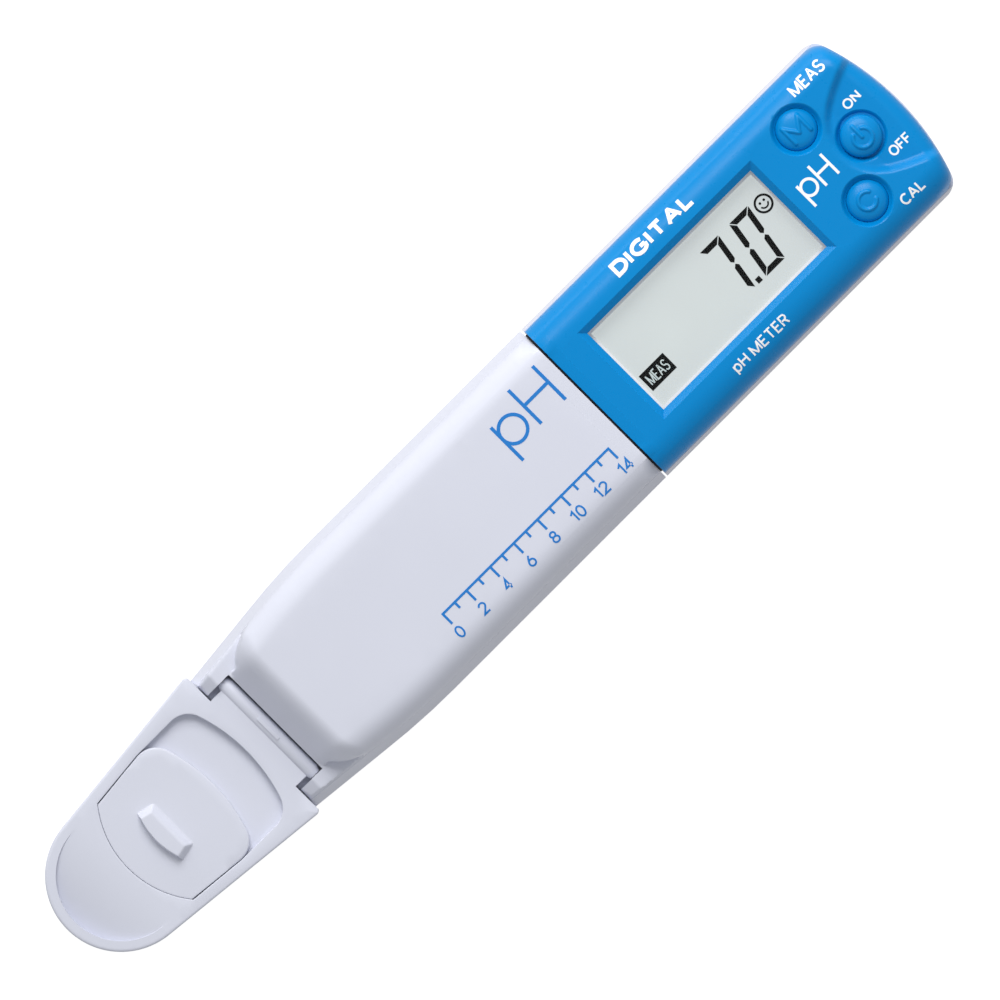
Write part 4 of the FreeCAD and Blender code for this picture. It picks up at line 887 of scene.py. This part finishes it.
def fix_normals(target):
    """Makes all face normals point outwards."""
    mesh = bmesh.new()
    mesh.from_mesh(target.data)
    bmesh.ops.recalc_face_normals(mesh, faces=mesh.faces)
    mesh.to_mesh(target.data)
    mesh.free()


def ribbon_box(name, low, high, rounding, material, body):
    """A block with rounded edges between two corners, in millimetres."""
    mesh = bmesh.new()
    bmesh.ops.create_cube(mesh, size=1.0)
    middle, extent = (np.array(low) + high) / 2, np.array(high, float) - low
    bmesh.ops.scale(mesh, vec=Vector(extent), verts=mesh.verts)
    bmesh.ops.translate(mesh, vec=Vector(middle), verts=mesh.verts)
    bmesh.ops.bevel(mesh, geom=mesh.edges[:], offset=rounding, segments=3, profile=0.5, affect="EDGES")
    mesh.verts.index_update()
    verts = [tuple(vert.co) for vert in mesh.verts]
    faces = [[vert.index for vert in face.verts] for face in mesh.faces]
    mesh.free()
    return make_object(name, verts, faces, material, body, 40)


def stretch_below(loop, limit):
    """The part of a closed loop that lies below a limit in Y, as one open line."""
    line = loop[loop[:, 1] < limit]
    split = int(np.argmax(np.hypot(*(line - np.roll(line, 1, axis=0)).T)))
    return np.roll(line, -split, axis=0)


def build_lid():
    """The hinged lid: plate, skirt, tongue, barrel and the tab on the barrel."""
    half_arc = LID_OUTLINE
    tongue_y = HINGE[1] - 0.4
    first = int(np.argmax(half_arc[:, 0] * (half_arc[:, 1] > LID_START - 0.01)))
    outline = np.roll(half_arc, -first - 1, axis=0)
    on_start = np.abs(outline[:, 1] - LID_START) < NEAR
    outline = outline[~(on_start & (np.abs(outline[:, 0]) < LID_HALF - 0.62))]
    tongue = refine(np.array([
        (TONGUE_HALF, LID_START), (TONGUE_HALF, tongue_y),
        (-TONGUE_HALF, tongue_y), (-TONGUE_HALF, LID_START),
    ]), 0.6, False)
    start = int(np.argmin(np.hypot(*(outline - (-LID_HALF + 0.6, LID_START)).T)))
    outline = np.roll(outline, -start, axis=0)
    loop = join(outline, tongue)
    far_side = arc((-OPENING_HALF, OPENING_LOW), (OPENING_HALF, OPENING_LOW), 13.5, 1, 30)
    near_side = [(OPENING_HALF, OPENING_HIGH), (-OPENING_HALF, OPENING_HIGH)]
    opening = refine(join(far_side, near_side), 0.8)
    creases = [(refine(slot_loop(gap), 0.6), True) for gap in (0, -0.02, -0.07, -SLOT_SOFT)]
    for amount in (RIM, RIM + WALL_STEP):
        line = stretch_below(tip_loop(amount, SCOOP_LINE), SCOOP_START - 0.05)
        creases.append((refine(line, 0.5, False), False))
    for amount in (SKIRT - 0.03, SKIRT + 0.03):
        line = stretch_below(tip_loop(amount, LID_START + 3), LID_START - 0.4)
        creases.append((refine(line, 0.7, False), False))
    for amount in (0.04, 0.1, 0.2, 0.36):
        line = stretch_below(inset(LID_OUTLINE, amount), LID_START - 0.5)
        creases.append((line, False))
    patches = [((-14, -83), (14, -41), 1.5), ((-11, -83), (11, -69.9), 0.28)]
    lid = field_solid("lid_plate", [loop, opening], creases, patches, lid_height, lid_underside,
                      GREY, "lid")
    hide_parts("light_shield_lid")
    end = EAR_INNER - 0.12
    right = [(end - 0.8, BARREL_RADIUS), (end, 0.85), (end, 0.66)]
    left = [(-x, radius) for x, radius in right[::-1]]
    barrel = lathe("lid_barrel", left + right, (0, HINGE[1], HINGE[2]), GREY, "lid")
    tab = ribbon_box("lid_barrel_tab", (-2.05, HINGE[1] - 0.36, HINGE[2] + 0.6),
                     (2.05, HINGE[1] + 0.3, HINGE[2] + BARREL_RADIUS + 0.13), 0.08, GREY, "lid")


GRIP_HALF = 4.75
GRIP_HIGH, GRIP_LOW = -61.05, -64.6


def slide_height(points):
    """Height of the slide cap's outer face, with the thumb grip."""
    loop = slot_loop(0.07, SLIDE_TRAVEL, 0.02)
    edge = distance(points, loop, closed=True)
    soft = np.where(points[:, 1] > -60, 0.3, 0.12)
    height = LID_TOP - 0.04 - quarter(soft - edge, soft)
    x, y = np.abs(points[:, 0]), points[:, 1]
    back = (GRIP_HIGH - y) * 1.25
    front = (y - GRIP_LOW - 0.045 * x**2) * 6.0
    ends = (GRIP_HALF - x - 0.22 * (y - GRIP_LOW)) * 1.6
    facet = soft_min(soft_min(back, ends, 0.25), front, 0.15)
    facet = soft_min(facet, np.full(len(points), 1.3), 0.3)
    return height + np.maximum(facet, 0)


def build_slide():
    """The slide cap with its thumb grip."""
    loop = refine(slot_loop(0.07, SLIDE_TRAVEL, 0.02), 0.6)
    creases = []
    for amount in (0.05, 0.12, 0.3):
        creases.append((inset(loop, amount), True))
    across = np.arange(-5.0, 5.01, 0.25)
    for rise in (0, 0.08, 0.16, 0.25):
        creases.append((np.column_stack([across, GRIP_LOW + 0.045 * across**2 + rise]), False))
    patches = [((-11, -71), (11, -53), 1.2), ((-5.2, -65.2), (5.2, -60.5), 0.16)]

    def under(points):
        """Flat underside."""
        return np.full(len(points), SLOT_FLOOR + 0.05)

    slide = field_solid("slide_cap_plate", [loop], creases, patches, slide_height, under, GREY, "slide")
    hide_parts("slide_cap")


# ---------------------------------------------------------------- printing


GLYPH_GAP = 0.3
WORD_GAP = 0.42
NARROW_GAP = 0.04
INK_DEPTH = 0.02


def ellipse(centre, radii, start, end, step=12):
    """Points along part of an ellipse; angles in degrees."""
    count = max(2, round(abs(end - start) / step))
    angles = np.radians(np.linspace(start, end, count + 1))
    return np.array(centre) + np.column_stack([np.cos(angles), np.sin(angles)]) * radii


def glyph(letter):
    """Centre lines of a plain letter or digit, one unit tall."""
    bowl = ellipse((0.32, 0.74), (0.3, 0.26), 90, -90)
    shapes = {
        "A": [[(0, 0), (0.38, 0.98), (0.42, 0.98), (0.8, 0)], [(0.14, 0.33), (0.66, 0.33)]],
        "C": [ellipse((0.44, 0.5), (0.44, 0.5), 48, 312)],
        "D": [np.vstack([[(0, 0), (0, 1)], ellipse((0.3, 0.5), (0.42, 0.5), 90, -90), [(0, 0)]])],
        "E": [[(0.55, 1), (0, 1), (0, 0), (0.57, 0)], [(0, 0.52), (0.5, 0.52)]],
        "F": [[(0.6, 1), (0, 1), (0, 0)], [(0, 0.5), (0.54, 0.5)]],
        "G": [
            np.vstack([ellipse((0.46, 0.5), (0.46, 0.5), 48, 318), [(0.84, 0.46)]]),
            [(0.5, 0.46), (0.84, 0.46)],
        ],
        "H": [[(0, 0), (0, 1)], [(0.72, 0), (0.72, 1)], [(0, 0.52), (0.72, 0.52)]],
        "I": [[(0, 0), (0, 1)]],
        "L": [[(0, 1), (0, 0), (0.56, 0)]],
        "M": [
            [(0, 0), (0, 1)],
            [(0, 0.94), (0.45, 0.06), (0.51, 0.06), (0.96, 0.94)],
            [(0.96, 0), (0.96, 1)],
        ],
        "N": [[(0, 0), (0, 1)], [(0, 0.95), (0.72, 0.05)], [(0.72, 0), (0.72, 1)]],
        "O": [ellipse((0.45, 0.5), (0.45, 0.5), 0, 360)],
        "R": [np.vstack([[(0, 0), (0, 1)], bowl + (0.03, 0), [(0, 0.48)]]), [(0.36, 0.48), (0.66, 0)]],
        "S": [np.vstack([
            ellipse((0.33, 0.75), (0.31, 0.25), 20, 262),
            ellipse((0.33, 0.25), (0.33, 0.25), 82, -160),
        ])],
        "T": [[(0, 1), (0.7, 1)], [(0.35, 1), (0.35, 0)]],
        "p": [ellipse((0.3, 0.36), (0.3, 0.36), 0, 360), [(0, 0.74), (0, -0.28)]],
        "0": [ellipse((0.29, 0.5), (0.29, 0.5), 0, 360)],
        "1": [[(0, 0.78), (0.28, 1), (0.28, 0)]],
        "2": [np.vstack([ellipse((0.29, 0.71), (0.29, 0.29), 165, -35), [(0, 0), (0.6, 0)]])],
        "4": [[(0.46, 0), (0.46, 1), (0, 0.3), (0.64, 0.3)]],
        "6": [ellipse((0.3, 0.31), (0.3, 0.31), 0, 360), [(0.04, 0.45), (0.2, 0.75), (0.4, 1)]],
        "8": [ellipse((0.3, 0.27), (0.3, 0.27), 0, 360), ellipse((0.3, 0.77), (0.25, 0.23), 0, 360)],
    }
    return [np.array(line, float) for line in shapes[letter]]


def word_lines(words, low, high, width):
    """Centre lines of words that fill a plan box, read along +Y with their top towards -X."""
    lines, cursor = [], 0.0
    for letter in words:
        if letter == " ":
            cursor += WORD_GAP
            continue
        placed = glyph(letter)
        lines += [line + (cursor, 0) for line in placed]
        cursor += max(line[:, 0].max() for line in placed) + GLYPH_GAP
        if letter == "I":
            cursor += NARROW_GAP
    points = np.vstack(lines)
    lowest, highest = points.min(axis=0), points.max(axis=0)
    scale = (np.array([high[1] - low[1], high[0] - low[0]]) - width) / (highest - lowest)
    flat = [(line - lowest) * scale + width / 2 for line in lines]
    return [np.column_stack([high[0] - line[:, 1], low[1] + line[:, 0]]) for line in flat]


def ribbon(line, width):
    """Outline loops of a band of even width along a polyline; a closed line gives two loops."""
    line = np.array(line, float)
    closed = np.allclose(line[0], line[-1])
    if closed:
        line = line[:-1]
        after = np.roll(line, -1, axis=0) - line
        before = np.roll(after, 1, axis=0)
    else:
        steps = line[1:] - line[:-1]
        after = np.vstack([steps, steps[-1:]])
        before = np.vstack([steps[:1], steps])
    side = corner_offsets(after, before, 0.3) * width / 2
    if closed:
        return [line + side, line - side]
    return [np.vstack([line + side, (line - side)[::-1]])]


def print_bands(name, lines, width, height, material, body, thick=0.03):
    """Printed bands along polylines, merged into one thin closed film that follows a height field."""
    bands = [[refine(loop, 0.5) for loop in ribbon(line, width)] for line in lines]
    flat, faces, centres = triangles([(loop, True) for band in bands for loop in band])
    kept = np.zeros(len(faces), bool)
    for band in bands:
        covered = inside(centres, band[0])
        if len(band) == 2:
            covered ^= inside(centres, band[1])
        kept |= covered
    flat, faces = tidy_triangles(flat, faces[kept])
    verts, faces = close_field(flat, faces, lambda p: height(p) + thick,
                               lambda p: height(p) - INK_DEPTH)
    made = make_object(name, verts, faces, material, body)
    return made


def capital_h(low, high, bar):
    """Centre lines of a capital H in a plan box, with its bar at one x."""
    stems = [[(low[0], y), (high[0], y)] for y in (low[1], high[1])]
    return stems + [[(bar, low[1]), (bar, high[1])]]


def build_labels():
    """White printing on the blue cover, blue printing on the grey shell."""
    for name, words, low, high, width in (
        ("label_meas", "MEAS", (-12.1, 71.75), (-10.15, 77.85), 0.3),
        ("label_on", "ON", (-5.25, 75.65), (-3.75, 78.5), 0.27),
        ("label_off", "OFF", (3.85, 75.65), (5.4, 79.35), 0.27),
        ("label_cal", "CAL", (9.75, 71.95), (11.4, 76.05), 0.28),
        ("label_kind", "pH METER", (9.65, 39.0), (11.75, 49.35), 0.25),
        ("label_digital", "DIGITAL", (-12.1, 36.7), (-9.8, 51.7), 0.56),
    ):
        lines = word_lines(words, np.array(low), np.array(high), width)
        print_bands(name, lines, width, cover_height, WHITE_INK, "meter")
    small_p = [ellipse((-0.05, 64.33), (1.2, 1.17), 0, 360), [(-1.4, 63.15), (2.5, 63.15)]]
    small_h = capital_h((-2.25, 66.25), (1.5, 68.65), -0.5)
    print_bands("label_ph", small_p + small_h, 0.41, cover_height, WHITE_INK, "meter")
    large_p = [ellipse((-5.4, 11.35), (2.05, 2.05), 0, 360), [(-7.75, 9.3), (-1.3, 9.3)]]
    large_h = capital_h((-9.7, 14.7), (-3.15, 19.45), -6.6)
    print_bands("print_ph", large_p + large_h, 0.5, shell_height, BLUE_INK, "sensor")
    build_scale()


def build_scale():
    """A generic pH scale printed on the sensor: a line with ticks and even numbers from 0 to 14."""
    low, high, line_x = -13.8, 18.8, 5.9
    pitch = (high - low) / 14
    lines = [[(line_x, low - 0.18), (line_x, high + 0.18)]]
    for value in range(15):
        y = low + pitch * value
        length = 1.9 if value % 2 == 0 else 1.1
        lines.append([(line_x, y), (line_x + length, y)])
    print_bands("print_scale", lines, 0.36, shell_height, BLUE_INK, "sensor")
    lines = []
    for value in range(0, 15, 2):
        y = low + pitch * value
        width = 1.25 if value < 10 else 2.3
        low_corner, high_corner = np.array((8.4, y - width / 2)), np.array((10.25, y + width / 2))
        lines += word_lines(str(value), low_corner, high_corner, 0.27)
    print_bands("print_numbers", lines, 0.27, shell_height, BLUE_INK, "sensor")


def build_display_tag():
    """Light letters on the dark tag of the display."""
    high = span("display_segments")[1][2]
    lines = word_lines("MEAS", np.array((2.35, 29.4)), np.array((4.1, 33.1)), 0.19)
    print_bands("display_tag_text", lines, 0.19, lambda p: np.full(len(p), high), LIGHT_INK, "meter",
                0.02)


# ---------------------------------------------------------------- stage

FLOOR_REACH = 12.0
FLOOR_GAP = 0.00002
FLOOR_GLOW = 0.4
FLOOR_GLOW_SEEN = 0.5
VIEW_WIDTH = 0.1395
VIEW_CENTRE = (0.0003, 0.00308)
VIEW_HEIGHT = 0.012


def area_light(name, place, target, width, height, power, color=(1, 1, 1)):
    """A soft rectangular light aimed at a point. Distances are in metres."""
    data = bpy.data.lights.new(name, "AREA")
    data.shape = "RECTANGLE"
    data.size, data.size_y, data.energy, data.color = width, height, power, color
    made = bpy.data.objects.new(name, data)
    made.location = place
    made.rotation_mode = "QUATERNION"
    made.rotation_quaternion = (Vector(target) - Vector(place)).to_track_quat("-Z", "Y")
    made.visible_camera = False
    bpy.context.scene.collection.objects.link(made)


def build_stage():
    """Pale floor, soft studio light and the camera straight above."""
    floor_mesh = bpy.data.meshes.new("floor")
    corners = [(-1, -1), (1, -1), (1, 1), (-1, 1)]
    places = [(x * FLOOR_REACH, y * FLOOR_REACH, -FLOOR_GAP) for x, y in corners]
    floor_mesh.from_pydata(places, [], [(0, 1, 2, 3)])
    floor = bpy.data.objects.new("floor", floor_mesh)
    bpy.context.scene.collection.objects.link(floor)
    material, tree, shader = new_material("floor_pale")
    shader.inputs["Base Color"].default_value = (0.3, 0.3, 0.3, 1)
    shader.inputs["Roughness"].default_value = 0.9
    shader.inputs["Specular IOR Level"].default_value = 0.0
    shader.inputs["Emission Color"].default_value = (1, 1, 1, 1)
    path = node(tree, "ShaderNodeLightPath")
    glow = node(tree, "ShaderNodeMath", operation="MULTIPLY_ADD")
    glow.inputs[1].default_value = FLOOR_GLOW_SEEN
    glow.inputs[2].default_value = FLOOR_GLOW
    tree.links.new(path.outputs["Is Camera Ray"], glow.inputs[0])
    tree.links.new(glow.outputs[0], shader.inputs["Emission Strength"])
    floor_mesh.materials.append(material)
    world = bpy.data.worlds.new("studio")
    world.use_nodes = True
    sky = world.node_tree.nodes["Background"]
    sky.inputs["Color"].default_value = (0.96, 0.98, 1.0, 1)
    sky.inputs["Strength"].default_value = 0.45
    bpy.context.scene.world = world
    area_light("key_softbox", (-0.36, 0.24, 0.46), (0, 0.02, 0), 0.40, 0.40, 3.3)
    area_light("side_softbox", (-0.60, 0.22, 0.10), (0, 0.02, 0.01), 0.50, 0.16, 0.75)
    data = bpy.data.cameras.new("camera")
    data.lens = 1200
    data.sensor_width = 36
    camera = bpy.data.objects.new("camera", data)
    bpy.context.scene.collection.objects.link(camera)
    away = VIEW_WIDTH * data.lens / data.sensor_width
    right, up = Vector((1, 1, 0)).normalized(), Vector((-1, 1, 0)).normalized()
    turn = Matrix((right, up, Vector((0, 0, 1)))).transposed()
    camera.matrix_world = Matrix.Translation((*VIEW_CENTRE, VIEW_HEIGHT + away)) @ turn.to_4x4()
    data.clip_end = 20
    bpy.context.scene.camera = camera
    bpy.context.scene.view_settings.view_transform = "Standard"


build_cover()
build_buttons()
build_sensor_front()
build_lid()
build_slide()
build_labels()
build_display_tag()
build_stage()
